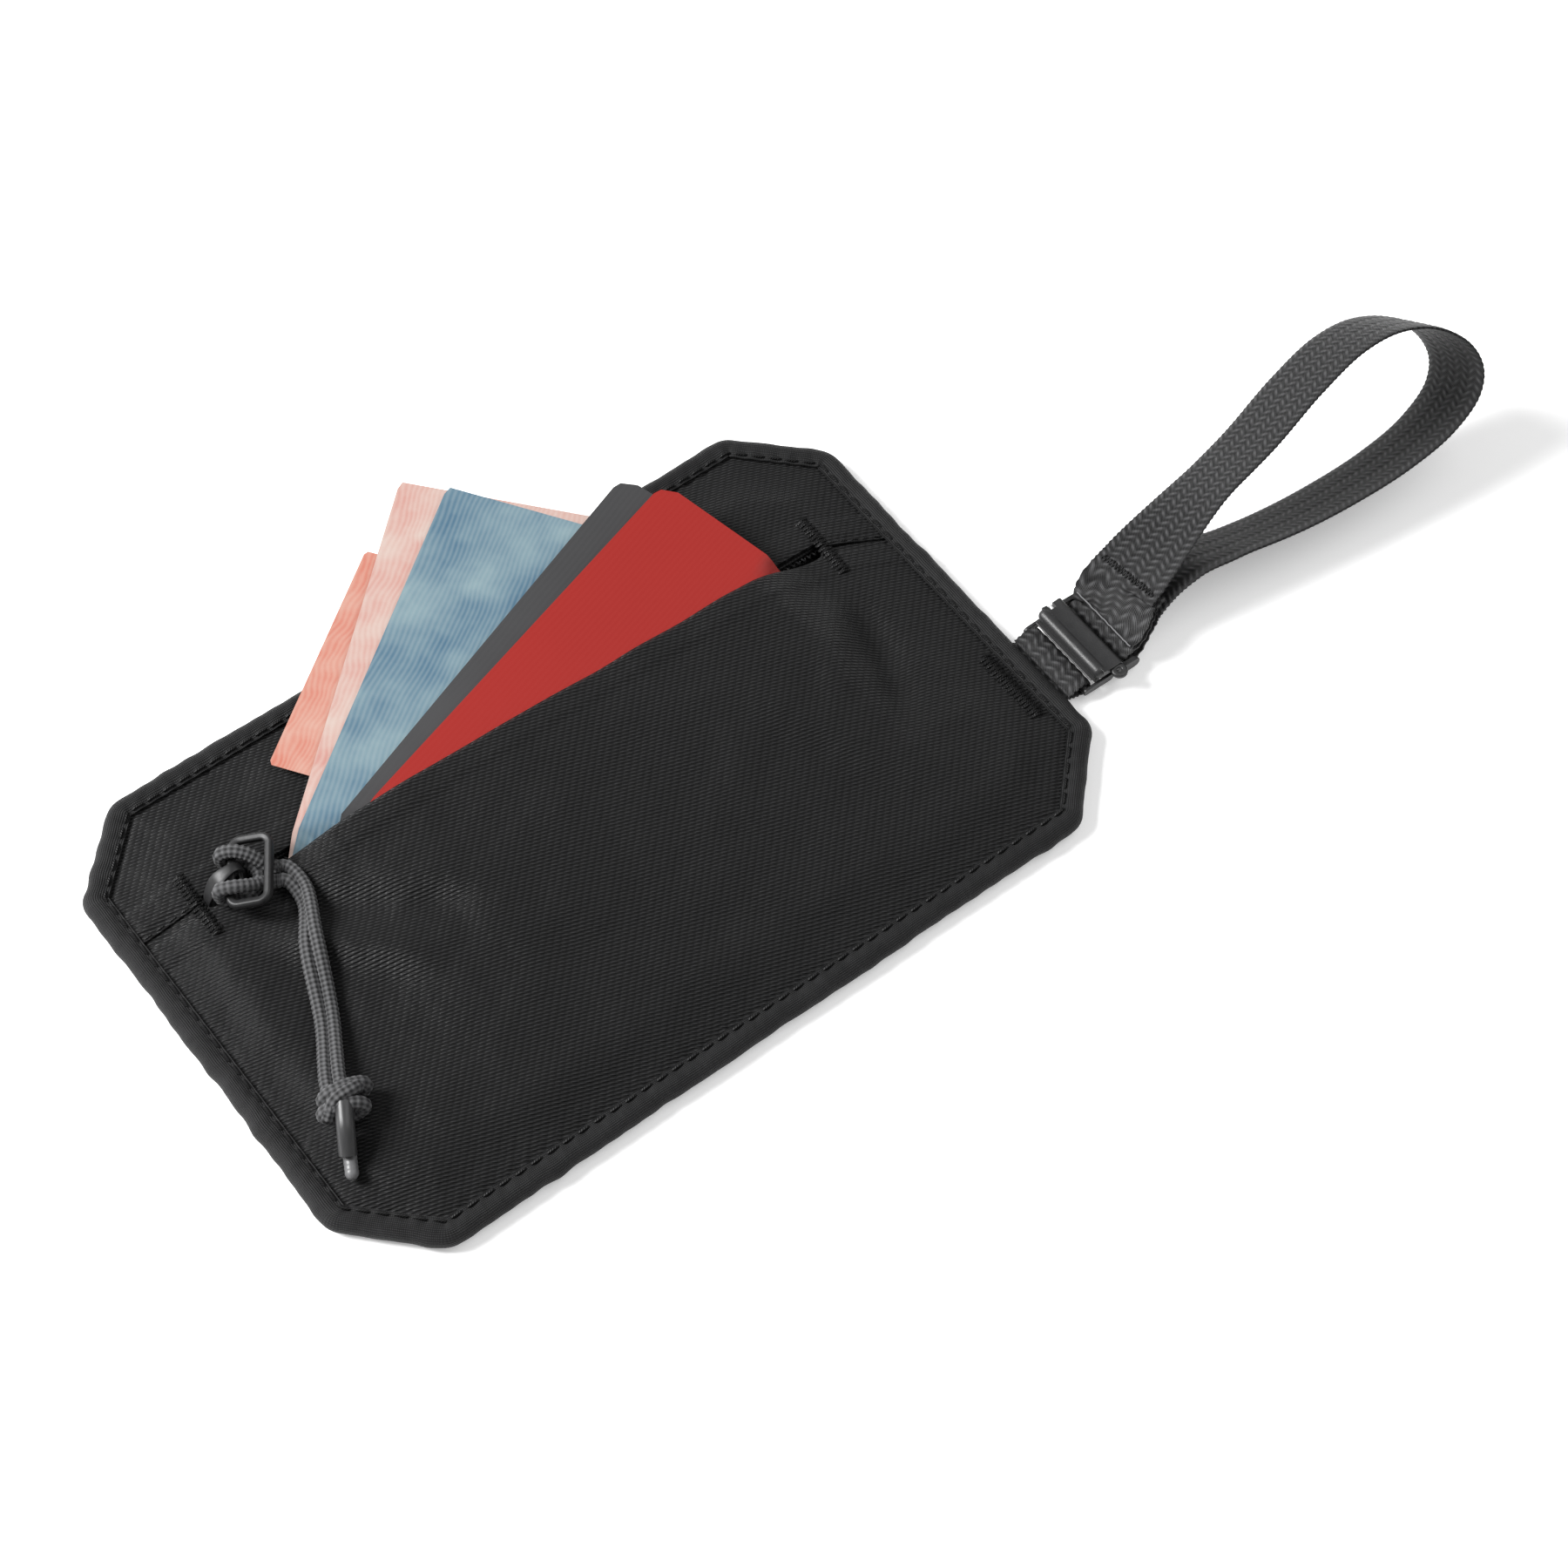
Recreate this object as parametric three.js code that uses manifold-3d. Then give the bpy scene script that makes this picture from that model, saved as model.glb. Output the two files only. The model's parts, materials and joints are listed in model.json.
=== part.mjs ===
// A flat zipped neck pouch with a clasp and a webbing neck loop.
// Millimetres. Origin at the centre of the pouch's back, +X towards the neck loop,
// +Y towards the zip, +Z out of the front.
import * as THREE from 'three';
import { mergeVertices } from 'three/addons/utils/BufferGeometryUtils.js';
import Module from 'manifold-3d';

const wasm = await Module();
wasm.setup();

// Driving dimensions.
const pouchLength = 158;
const pouchWidth = 102;
const cornerCut = 14;
const cloth = 0.4;
const gap = 0.25; // air between sewn layers
const bindingTape = 0.5;
const bindingWidth = 4.3;
const thread = 0.35;
const webbingWidth = 15;
const webbing = 0.9;
const cordRadius = 1.2;
const wireRadius = 0.7; // the pull ring and the clasp's bars
const mouthHalf = 64;
const mouthRise = 6.2; // how far the contents lift the lower front at the open mouth
const mouthSag = 0.8; // how far the mouth's lower edge draws back where it is lifted
const zipMiddleY = 22;
const zipTilt = -0.0323; // slope of the zip line along x
const slitHalf = 1.3;
const coilRadius = 0.5;
const plate = 0.5;

// Heights of the sewn stack at the pouch's edge, from the resting plane up.
const halfLength = pouchLength / 2;
const halfWidth = pouchWidth / 2;
const backBottom = bindingTape + gap;
const backTop = backBottom + cloth;
const tailBottom = backTop + gap;
const tailTop = tailBottom + webbing;
const edgeTop = tailTop + gap + cloth;
const bindingTop = edgeTop + gap + bindingTape;
const sliderBottom = backTop + gap;
const coilHeight = sliderBottom + plate + gap + coilRadius;
const sliderTop = coilHeight + coilRadius + gap + plate;
const zipTop = sliderTop + gap + cloth;

const scene = new THREE.Group();

const finishes = {
  cloth: { color: 0x1b1b1d, roughness: 0.75, metalness: 0 },
  tape: { color: 0x242427, roughness: 0.8, metalness: 0 },
  thread: { color: 0x0c0c0d, roughness: 0.6, metalness: 0 },
  webbing: { color: 0x2a2a2c, roughness: 0.8, metalness: 0 },
  cord: { color: 0x3c3c3f, roughness: 0.85, metalness: 0 },
  metal: { color: 0x2b2b2d, roughness: 0.4, metalness: 0.9 },
  coil: { color: 0x161617, roughness: 0.45, metalness: 0 },
  clasp: { color: 0x1f1f21, roughness: 0.5, metalness: 0.3 },
};

function add(name, geometry, finish) {
  const mesh = new THREE.Mesh(geometry, new THREE.MeshStandardMaterial(finishes[finish]));
  mesh.name = name;
  scene.add(mesh);
}

// Smooth step from 0 to 1 as t goes from 0 to 1.
function ease(t) {
  const c = Math.min(1, Math.max(0, t));
  return c * c * (3 - 2 * c);
}

// --- Closed-body helpers ---

function signedVolume(position, index) {
  const a = new THREE.Vector3();
  const b = new THREE.Vector3();
  const c = new THREE.Vector3();
  let sum = 0;
  for (let i = 0; i < index.length; i += 3) {
    a.fromArray(position, index[i] * 3);
    b.fromArray(position, index[i + 1] * 3);
    c.fromArray(position, index[i + 2] * 3);
    sum += a.dot(b.cross(c)) / 6;
  }
  return sum;
}

// A geometry from points and triangles, with its faces pointing out.
function closedBody(points, triangles) {
  const position = points.flatMap((p) => [p.x, p.y, p.z]);
  const index = triangles.flat();
  if (signedVolume(position, index) < 0) index.reverse();
  const geometry = new THREE.BufferGeometry();
  geometry.setAttribute('position', new THREE.Float32BufferAttribute(position, 3));
  geometry.setIndex(index);
  return geometry;
}

// Skins a row of equal closed sections; open rows get a flat cap at each end.
function loft(sections, closed = false) {
  const points = sections.flat();
  const sides = sections[0].length;
  const spans = closed ? sections.length : sections.length - 1;
  const triangles = [];
  for (let i = 0; i < spans; i += 1) {
    const near = i * sides;
    const far = ((i + 1) % sections.length) * sides;
    for (let j = 0; j < sides; j += 1) {
      const k = (j + 1) % sides;
      triangles.push([near + j, far + j, far + k], [near + j, far + k, near + k]);
    }
  }
  if (!closed) {
    const last = (sections.length - 1) * sides;
    for (let j = 1; j < sides - 1; j += 1) {
      triangles.push([0, j, j + 1], [last, last + j + 1, last + j]);
    }
  }
  return closedBody(points, triangles);
}

// A sheet of cloth over the columns xs, between yLow(x) and yHigh(x), with its top at top(x, y).
// The shares say where its rows run, from 0 at yLow to 1 at yHigh.
function sheet({ xs, yLow, yHigh, shares, top, thickness }) {
  const rows = shares.length - 1;
  const points = [];
  for (const x of xs) {
    for (const share of shares) {
      const y = THREE.MathUtils.lerp(yLow(x), yHigh(x), share);
      const z = top(x, y);
      points.push(new THREE.Vector3(x, y, z), new THREE.Vector3(x, y, z - thickness));
    }
  }
  const upper = (i, j) => 2 * (i * (rows + 1) + j);
  const lower = (i, j) => upper(i, j) + 1;
  const triangles = [];
  const quad = (a, b, c, d) => triangles.push([a, b, c], [a, c, d]);
  const last = xs.length - 1;
  for (let i = 0; i < last; i += 1) {
    for (let j = 0; j < rows; j += 1) {
      quad(upper(i, j), upper(i + 1, j), upper(i + 1, j + 1), upper(i, j + 1));
      quad(lower(i, j), lower(i, j + 1), lower(i + 1, j + 1), lower(i + 1, j));
    }
    quad(lower(i, 0), lower(i + 1, 0), upper(i + 1, 0), upper(i, 0));
    quad(upper(i, rows), upper(i + 1, rows), lower(i + 1, rows), lower(i, rows));
  }
  for (let j = 0; j < rows; j += 1) {
    quad(upper(0, j), upper(0, j + 1), lower(0, j + 1), lower(0, j));
    quad(lower(last, j), lower(last, j + 1), upper(last, j + 1), upper(last, j));
  }
  return closedBody(points, triangles);
}

// A round bar along a curve.
function cordAlong(curve, radius, steps, sides = 10) {
  const section = new THREE.Shape().absarc(0, 0, radius, 0, 2 * Math.PI, false);
  return new THREE.ExtrudeGeometry(section, {
    steps,
    curveSegments: sides / 2,
    extrudePath: curve,
    bevelEnabled: false,
  });
}

// A profile drawn in x and z, given a width along y about yCentre.
function acrossY(shape, width, yCentre = 0) {
  const geometry = new THREE.ExtrudeGeometry(shape, {
    depth: width,
    bevelEnabled: false,
    curveSegments: 10,
  });
  geometry.rotateX(Math.PI / 2);
  geometry.translate(0, yCentre + width / 2, 0);
  return geometry;
}

function bar(x, z, radius, width, yCentre, sides = 20) {
  const geometry = new THREE.CylinderGeometry(radius, radius, width, sides);
  geometry.translate(x, yCentre, z);
  return geometry;
}

function disc(x, y, z, radius, thickness) {
  const geometry = new THREE.CylinderGeometry(radius, radius, thickness, 20);
  geometry.rotateX(Math.PI / 2);
  geometry.translate(x, y, z);
  return geometry;
}

function block(x0, x1, y0, y1, z0, z1) {
  const geometry = new THREE.BoxGeometry(x1 - x0, y1 - y0, z1 - z0);
  geometry.translate((x0 + x1) / 2, (y0 + y1) / 2, (z0 + z1) / 2);
  return geometry;
}

// --- Joining and cutting ---

function toSolid(geometry) {
  const bare = geometry.clone();
  bare.deleteAttribute('normal');
  bare.deleteAttribute('uv');
  const merged = mergeVertices(bare, 1e-3);
  const triangles = [];
  for (let i = 0; i < merged.index.count; i += 3) {
    const [a, b, c] = [0, 1, 2].map((k) => merged.index.getX(i + k));
    if (a !== b && b !== c && c !== a) triangles.push(a, b, c);
  }
  return new wasm.Manifold(new wasm.Mesh({
    numProp: 3,
    vertProperties: new Float32Array(merged.attributes.position.array),
    triVerts: new Uint32Array(triangles),
  }));
}

function toGeometry(solid) {
  const mesh = solid.getMesh();
  const geometry = new THREE.BufferGeometry();
  geometry.setAttribute('position', new THREE.BufferAttribute(mesh.vertProperties, 3));
  geometry.setIndex(new THREE.BufferAttribute(mesh.triVerts, 1));
  return geometry;
}

function joined(...geometries) {
  return toGeometry(geometries.map(toSolid).reduce((whole, piece) => whole.add(piece)));
}

function cut(geometry, ...cutters) {
  const tools = cutters.map(toSolid);
  return toGeometry(tools.reduce((whole, tool) => whole.subtract(tool), toSolid(geometry)));
}

// --- The pouch's outline and the front's height ---

// The octagon, moved inwards by inset, anticlockwise.
function octagon(inset) {
  const x = halfLength - inset;
  const y = halfWidth - inset;
  const c = cornerCut - inset * (2 - Math.SQRT2);
  return [
    [x, -y + c], [x, y - c], [x - c, y], [-x + c, y],
    [-x, y - c], [-x, -y + c], [-x + c, -y], [x - c, -y],
  ];
}

// How far a point lies inside the octagon.
function insideBy(x, y) {
  const diagonal = (halfLength + halfWidth - cornerCut - Math.abs(x) - Math.abs(y)) / Math.SQRT2;
  return Math.min(halfLength - Math.abs(x), halfWidth - Math.abs(y), diagonal);
}

// Where the octagon's long side ends and its corner cut begins.
function cornerX(inset) {
  return halfLength - inset - cornerCut + inset * (2 - Math.SQRT2);
}

// Half the octagon's width in y at x, for an outline moved inwards by inset.
function halfWidthAt(x, inset) {
  return halfWidth - inset - Math.max(0, Math.abs(x) - cornerX(inset));
}

// The zip's centre line; past the mouth's right end its seam turns down to the edge.
function zipY(x) {
  return zipMiddleY + zipTilt * x - 0.35 * Math.max(0, x - mouthHalf);
}

// How open the mouth stands along its length, from 0 to 1.
function openness(x) {
  return ease((x + 60) / 34) * ease((62 - x) / 16);
}

// The back rests on the table and rises to the binding's fold at its rim.
function backAt(x, y) {
  const onTable = ease((insideBy(x, y) - bindingWidth - 2 * gap) / 1.7);
  return THREE.MathUtils.lerp(backTop, cloth, onTable);
}

// The front's smooth swell from the binding to the zip.
function frontTop(x, y) {
  return edgeTop + (zipTop - edgeTop) * ease((insideBy(x, y) - bindingWidth - gap) / 11);
}

// The lower front also rises towards the open mouth.
function pocketTop(x, y) {
  const climb = (y + halfWidth - bindingWidth) / (zipY(x) + halfWidth - bindingWidth);
  return frontTop(x, y) + mouthRise * openness(x) * ease(climb);
}

// Half the opening between the two front panels: a slit at the mouth, a seam beyond it.
function openingHalf(x) {
  return Math.abs(x) < mouthHalf ? slitHalf : gap / 2;
}

// Evenly spread numbers, both ends included.
function spread(from, to, count) {
  return Array.from({ length: count + 1 }, (_, i) => THREE.MathUtils.lerp(from, to, i / count));
}

// --- Cloth ---

function addPanels() {
  const inset = bindingTape + gap;
  const end = halfLength - inset;
  const corner = cornerX(inset);
  const rim = halfLength - bindingWidth - gap;
  const outline = { yLow: (x) => -halfWidthAt(x, inset), yHigh: (x) => halfWidthAt(x, inset) };

  const rimShare = 0.045;
  const backXs = [corner, halfLength - 10, rim - 0.7, end];
  add('back_panel', sheet({
    ...outline,
    xs: [...backXs.map((x) => -x).reverse(), ...backXs],
    shares: [0, rimShare, 2 * rimShare, 1 - 2 * rimShare, 1 - rimShare, 1],
    top: backAt,
    thickness: cloth,
  }), 'cloth');

  const step = 0.05;
  const rightXs = [mouthHalf + step, corner, (corner + rim) / 2, rim, end];
  const leftXs = rightXs.map((x) => -x).reverse();
  const xs = [...leftXs, ...spread(-mouthHalf + step, mouthHalf - step, 30), ...rightXs];
  add('front_panel_lower', sheet({
    ...outline,
    xs,
    yHigh: (x) => zipY(x) - openingHalf(x) - mouthSag * openness(x),
    shares: spread(0, 1, 12),
    top: pocketTop,
    thickness: cloth,
  }), 'cloth');
  add('front_panel_upper', sheet({
    ...outline,
    xs,
    yLow: (x) => zipY(x) + openingHalf(x),
    shares: spread(0, 1, 6),
    top: frontTop,
    thickness: cloth,
  }), 'cloth');
}

// A closed ring round the pouch: an [inset, height] profile carried round the octagon.
function roundTheEdge(profile) {
  const rings = profile.map(([inset, z]) => octagon(inset).map(([x, y]) => new THREE.Vector3(x, y, z)));
  return loft(rings[0].map((_, corner) => rings.map((ring) => ring[corner])), true);
}

// The folded tape round the edge, with a slot where the clasp's tab comes out.
function addBinding() {
  const round = 0.9;
  const fold = roundTheEdge([
    [bindingWidth, 0], [round, 0], [0, round], [0, bindingTop - round],
    [round, bindingTop], [bindingWidth, bindingTop],
    [bindingWidth, bindingTop - bindingTape], [bindingTape, bindingTop - bindingTape],
    [bindingTape, bindingTape], [bindingWidth, bindingTape],
  ]);
  const half = webbingWidth / 2 + gap;
  const air = 0.1;
  const [low, high] = [tailBottom - air, tailTop + air];
  const slot = block(halfLength - 2, halfLength + 1, tabY - half, tabY + half, low, high);
  add('edge_binding', cut(fold, slot), 'tape');

  const seam = bindingTop + 0.05;
  const inner = bindingWidth - 0.3;
  add('binding_stitch', roundTheEdge([
    [inner, seam], [inner - thread, seam], [inner - thread, seam + thread], [inner, seam + thread],
  ]), 'thread');
}

// --- Zip ---

const zipEnd = 66;

// How far the lower coil swings away from the zip line to pass the slider's post.
function coilSplit(x) {
  return 1.35 * ease((x + 61) / 3) * ease((zipEnd - x) / 8);
}

function addZip() {
  const xs = [...spread(-zipEnd, -55, 7), ...spread(-52, 56, 24), ...spread(58, zipEnd, 4)];
  const coilY = coilRadius + 0.15;
  const tapeY = coilY + coilRadius + 0.2;
  const tapeWidth = 7;
  const tape = 0.3;
  const coilDrop = zipTop - coilHeight;
  const tapeDrop = coilDrop - tape / 2;
  const lowerEdge = (x) => zipY(x) - tapeY - coilSplit(x) - mouthSag * openness(x);
  const upperEdge = (x) => zipY(x) + tapeY;
  add('zipper_tape_lower', sheet({
    xs,
    yLow: (x) => lowerEdge(x) - tapeWidth,
    yHigh: lowerEdge,
    shares: spread(0, 1, 3),
    top: (x, y) => pocketTop(x, y) - tapeDrop,
    thickness: tape,
  }), 'tape');
  add('zipper_tape_upper', sheet({
    xs,
    yLow: upperEdge,
    yHigh: (x) => upperEdge(x) + tapeWidth,
    shares: spread(0, 1, 3),
    top: (x, y) => frontTop(x, y) - tapeDrop,
    thickness: tape,
  }), 'tape');

  const coil = (edge, top) => new THREE.CatmullRomCurve3(
    xs.map((x) => new THREE.Vector3(x, edge(x), top(x, edge(x)) - coilDrop)),
  );
  const upper = coil((x) => upperEdge(x) - tapeY + coilY, frontTop);
  const lower = coil((x) => lowerEdge(x) + tapeY - coilY, pocketTop);
  add('zipper_coil_upper', cordAlong(upper, coilRadius, 30, 6), 'coil');
  add('zipper_coil_lower', cordAlong(lower, coilRadius, 60, 6), 'coil');

  const half = 0.7;
  const stop = (x, offset, halfAcross) => {
    const y = zipY(x) + offset;
    const z = zipHeightAt(x);
    return block(x - half, x + half, y - halfAcross, y + halfAcross, z - half, z + half);
  };
  const stopX = zipEnd + 1.1;
  add('zipper_bottom_stop', stop(-stopX, 0, 1.4), 'metal');
  add('zipper_top_stop_upper', stop(stopX, 1.1, 0.9), 'metal');
  add('zipper_top_stop_lower', stop(stopX, -1.1, 0.9), 'metal');
}

// The height of the coils' centre line where the mouth is shut.
function zipHeightAt(x) {
  return frontTop(x, zipY(x)) - (zipTop - coilHeight) + 0.15;
}

// Turns a geometry drawn with the slider's centre at the origin into the zip line's frame.
function onZip(geometry, x) {
  geometry.rotateZ(Math.atan(zipTilt));
  geometry.translate(x, zipY(x), 0);
  return geometry;
}

const sliderX = -59;
const ringBarZ = zipTop + gap + 2 * cordRadius + wireRadius + 0.6;
const bailTop = ringBarZ + wireRadius + gap + 0.75;

// Two plates joined by a post, with an arched bail that holds the ring.
function addSlider() {
  const half = 4;
  const halfAcross = 3.9;
  const body = [
    block(-half, half, -halfAcross, halfAcross, sliderBottom, sliderBottom + plate),
    block(-half, half, -halfAcross, halfAcross, sliderTop - plate, sliderTop),
    block(half - 1.3, half - 0.4, -1.1, -0.1, sliderBottom + 0.1, sliderTop - 0.1),
  ];
  const arch = new THREE.Shape();
  arch.moveTo(-3.6, sliderTop - 0.2);
  arch.lineTo(4.1, sliderTop - 0.2);
  arch.lineTo(4.1, bailTop - 1.4);
  arch.quadraticCurveTo(4.1, bailTop, 2.8, bailTop);
  arch.lineTo(1.2, bailTop);
  arch.quadraticCurveTo(-1.5, bailTop - 0.4, -3.6, sliderTop + 1.2);
  const window = new THREE.Path();
  window.moveTo(-2.2, sliderTop + 0.2);
  window.lineTo(3.4, sliderTop + 0.2);
  window.lineTo(3.4, bailTop - 1.6);
  window.quadraticCurveTo(3.4, bailTop - 0.8, 2.6, bailTop - 0.75);
  window.lineTo(1.3, bailTop - 0.75);
  window.quadraticCurveTo(-0.9, bailTop - 1.2, -2.2, sliderTop + 0.9);
  arch.holes.push(window);
  const bail = acrossY(arch, 1.8);
  add('slider_body', onZip(joined(...body, bail), sliderX), 'metal');
}

// --- Pull: a wire ring with a hitched cord ---

const ringX = -57.1;
const ringAxis = new THREE.Vector2(0.559, 0.829);
const ringTilt = 0.25;

// A point in the ring's own frame: along its hinge bar, out from it, and up from the bar.
function atRing(along, out, up) {
  const x = ringX + ringAxis.x * along + ringAxis.y * out;
  const y = zipY(ringX) + ringAxis.y * along - ringAxis.x * out;
  return new THREE.Vector3(x, y, ringBarZ + up);
}

function addRing() {
  const halfAlong = 6.2;
  const reach = 6.6;
  const bend = 1.6;
  const corners = [
    [halfAlong - bend, bend, -Math.PI / 2], [halfAlong - bend, reach - bend, 0],
    [-halfAlong + bend, reach - bend, Math.PI / 2], [-halfAlong + bend, bend, Math.PI],
  ];
  const path = [];
  for (const [along, out, start] of corners) {
    for (const turn of spread(0, Math.PI / 2, 4)) {
      const angle = start + turn;
      path.push({ along, out, cos: Math.cos(angle), sin: Math.sin(angle) });
    }
  }
  const sides = 8;
  const wirePoint = ({ along, out, cos, sin }, turn) => {
    const radius = bend + wireRadius * Math.cos(turn);
    const flat = out + radius * sin;
    const lift = wireRadius * Math.sin(turn);
    return atRing(
      along + radius * cos,
      flat * Math.cos(ringTilt) - lift * Math.sin(ringTilt),
      flat * Math.sin(ringTilt) + lift * Math.cos(ringTilt),
    );
  };
  const turns = spread(0, 2 * Math.PI, sides).slice(0, sides);
  const sections = path.map((point) => turns.map((turn) => wirePoint(point, turn)));
  add('pull_ring', loft(sections, true), 'metal');
}

// The cord: a cow hitch on the ring's hinge bar, then two tails to an overhand knot.
function addCord() {
  const around = wireRadius + cordRadius + 0.15;
  // One strand of the hitch: under the ring's free side, over its hinge bar and back beneath.
  const strand = (along, exit) => [
    atRing(exit, 8.2, -0.7),
    atRing(exit * 1.1, 6.4, -0.5),
    atRing(along * 0.7, 4.4, 0.7),
    atRing(along * 0.9, 2.4, 1.7),
    atRing(along, 0.3, around),
    atRing(along, -around * 0.8, around * 0.6),
    atRing(along, -around * 0.8, -around * 0.6),
    atRing(along, 0.2, -around),
    atRing(along * 0.9, 2.4, -1.95),
  ];
  const hitch = new THREE.CatmullRomCurve3([
    ...strand(3.1, 1.35),
    atRing(0.6, 4.3, -1.95),
    atRing(-1.6, 3.9, -1.95),
    ...strand(-3.8, -1.35).reverse(),
  ]);
  add('cord_hitch', cordAlong(hitch, cordRadius, 56, 8), 'cord');

  const knot = new THREE.Vector3(-65.6, -22.4, zipTop + 2.9);
  const root = atRing(0, 9.1, -0.7);
  const lying = (x, y) => new THREE.Vector3(x, y, pocketTop(x, y) + cordRadius + gap);
  const tail = (side) => new THREE.CatmullRomCurve3([
    atRing(side * 1.35, 9.1, -0.7),
    lying(root.x + 0.4 + side * 0.9, root.y - 4.4 + side * 1.2),
    lying(root.x - 3.8 + side * 1.35, root.y - 13 + side * 0.6),
    lying(root.x - 9 + side * 1.3, root.y - 25 + side * 0.5),
    new THREE.Vector3(knot.x + side * 1.1, knot.y + 2.5, knot.z),
    new THREE.Vector3(knot.x - 2.4 + side * 1.1, knot.y - 5, zipTop + 1.7),
    lying(knot.x - 5.6 + side * 1.25, knot.y - 9.6 + side * 0.4),
  ]);
  const ball = new THREE.SphereGeometry(1, 14, 8);
  ball.scale(3.4, 3.5, 2.6);
  ball.translate(knot.x, knot.y, knot.z);
  const tails = [1, -1].map((side) => cordAlong(tail(side), cordRadius, 28, 8));
  add('pull_cord', joined(...tails, ball), 'cord');
}

// --- Bar tacks ---

function addTacks() {
  const half = 0.8;
  const across = 6.8;
  const onMouth = () => block(-half, half, -across, across, zipTop + 0.1, zipTop + 0.1 + thread);
  add('bar_tack_left', onZip(onMouth(), -mouthHalf), 'thread');
  add('bar_tack_right', onZip(onMouth(), mouthHalf), 'thread');
  const x = 72.6;
  const tabHalf = webbingWidth / 2 + 0.1;
  const z = frontTop(x - half, tabY) + 0.2;
  add('tab_bar_tack', block(x - half, x + half, tabY - tabHalf, tabY + tabHalf, z, z + thread), 'thread');
}

// --- Tab and clasp ---

const tabY = -22.5;
const flexX = halfLength + 0.7;
const flexZ = (tailBottom + tailTop) / 2;
const webBarX = 83;
const catchX = 88.15;
const claspWidth = 17.4;
const earInner = webbingWidth / 2 + 0.3;
const strapBarX = 93.6;
const strapBarZ = 2;

// The webbing sewn into the pouch, and its end folded round the clasp's bar.
function addTab() {
  const halfTab = webbingWidth / 2;
  const tail = block(66, flexX - 0.4, tabY - halfTab, tabY + halfTab, tailBottom, tailTop);
  add('tab_tail', tail, 'webbing');
  const fold = 1.75;
  const start = flexX + 0.2;
  const neck = flexX + 1.4;
  const half = webbing / 2;
  const shape = new THREE.Shape();
  shape.moveTo(start, flexZ - half);
  shape.lineTo(neck, flexZ - half);
  shape.lineTo(webBarX - 0.6, flexZ - fold);
  shape.lineTo(webBarX, flexZ - fold);
  shape.absarc(webBarX, flexZ, fold, -Math.PI / 2, Math.PI / 2, false);
  shape.lineTo(webBarX - 0.6, flexZ + fold);
  shape.lineTo(neck, flexZ + half);
  shape.lineTo(start, flexZ + half);
  shape.holes.push(new THREE.Path().absarc(webBarX, flexZ, 0.95, 0, 2 * Math.PI, true));
  add('strap_tab', acrossY(shape, webbingWidth, tabY), 'webbing');
}

// The catch: two ears joined by the bar inside the tab's fold and the rod the hook grips.
function addCatch() {
  const ear = new THREE.Shape();
  ear.moveTo(webBarX, flexZ - 1.1);
  ear.lineTo(catchX, flexZ - 1.1);
  ear.absarc(catchX, flexZ, 1.1, -Math.PI / 2, Math.PI / 2, false);
  ear.lineTo(webBarX, flexZ + 1.1);
  ear.absarc(webBarX, flexZ, 1.1, Math.PI / 2, 1.5 * Math.PI, false);
  const thick = claspWidth / 2 - earInner;
  const earY = (claspWidth - thick) / 2;
  add('clasp_catch', joined(
    acrossY(ear, thick, tabY + earY),
    acrossY(ear, thick, tabY - earY),
    bar(webBarX, flexZ, wireRadius, claspWidth - 0.4, tabY),
    bar(catchX, flexZ, 1.1, claspWidth - 0.4, tabY),
  ), 'clasp');
}

// The hook: a curled cover that drops over the catch rod, with the strap's bar behind it.
function addHook() {
  const rollX = 86.2;
  const rollZ = 4.4;
  const backX = 90.6;
  const wall = 0.95;
  const cover = new THREE.Shape();
  cover.moveTo(rollX, rollZ - 0.5);
  cover.lineTo(rollX, rollZ + 1.1);
  cover.quadraticCurveTo(rollX + 2, rollZ + 0.4, backX - 0.8, rollZ + 0.8);
  cover.quadraticCurveTo(backX, rollZ + 0.8, backX, rollZ);
  cover.lineTo(backX, rollZ - 1.2);
  cover.lineTo(backX - wall, rollZ - 1.2);
  cover.lineTo(backX - wall, rollZ - 0.2);
  cover.lineTo(rollX + 0.5, rollZ - 0.4);
  const between = earInner - 0.5;
  const wallX = rollX - wall / 2;
  const wallAt = (x) => block(x, x + wall, tabY - between, tabY + between, 1, rollZ);
  const earWidth = claspWidth / 2 - earInner;
  const earY = (claspWidth - earWidth) / 2;
  const arm = new THREE.Shape();
  arm.moveTo(backX - wall, 0.9);
  arm.lineTo(strapBarX, strapBarZ - 1.1);
  arm.absarc(strapBarX, strapBarZ, 1.1, -Math.PI / 2, Math.PI / 2, false);
  arm.lineTo(backX, 3.4);
  arm.lineTo(backX - wall, 3.4);
  const side = tabY - claspWidth / 2;
  const eyeX = backX - 1.5;
  const eye = disc(eyeX, side - 0.6, rollZ, 1.5, 0.9);
  const eyeHole = disc(eyeX, side - 1.1, rollZ, 0.45, 3);
  const farSide = tabY + claspWidth / 2;
  const notch = block(rollX + 1.2, rollX + 2.4, farSide - 1.1, farSide + 1, rollZ - 3, rollZ + 3);
  const whole = joined(
    bar(rollX, rollZ, 1.25, claspWidth - 0.8, tabY, 24),
    acrossY(cover, claspWidth - 0.4, tabY),
    wallAt(wallX),
    wallAt(backX - wall),
    acrossY(arm, earWidth, tabY + earY),
    acrossY(arm, earWidth, tabY - earY),
    bar(strapBarX, strapBarZ, wireRadius, claspWidth - 0.4, tabY),
    eye,
  );
  add('clasp_hook', cut(whole, eyeHole, notch), 'clasp');
}

// --- Neck loop ---

const loopRoll = 0.628;
const loopYaw = -0.131;

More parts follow.
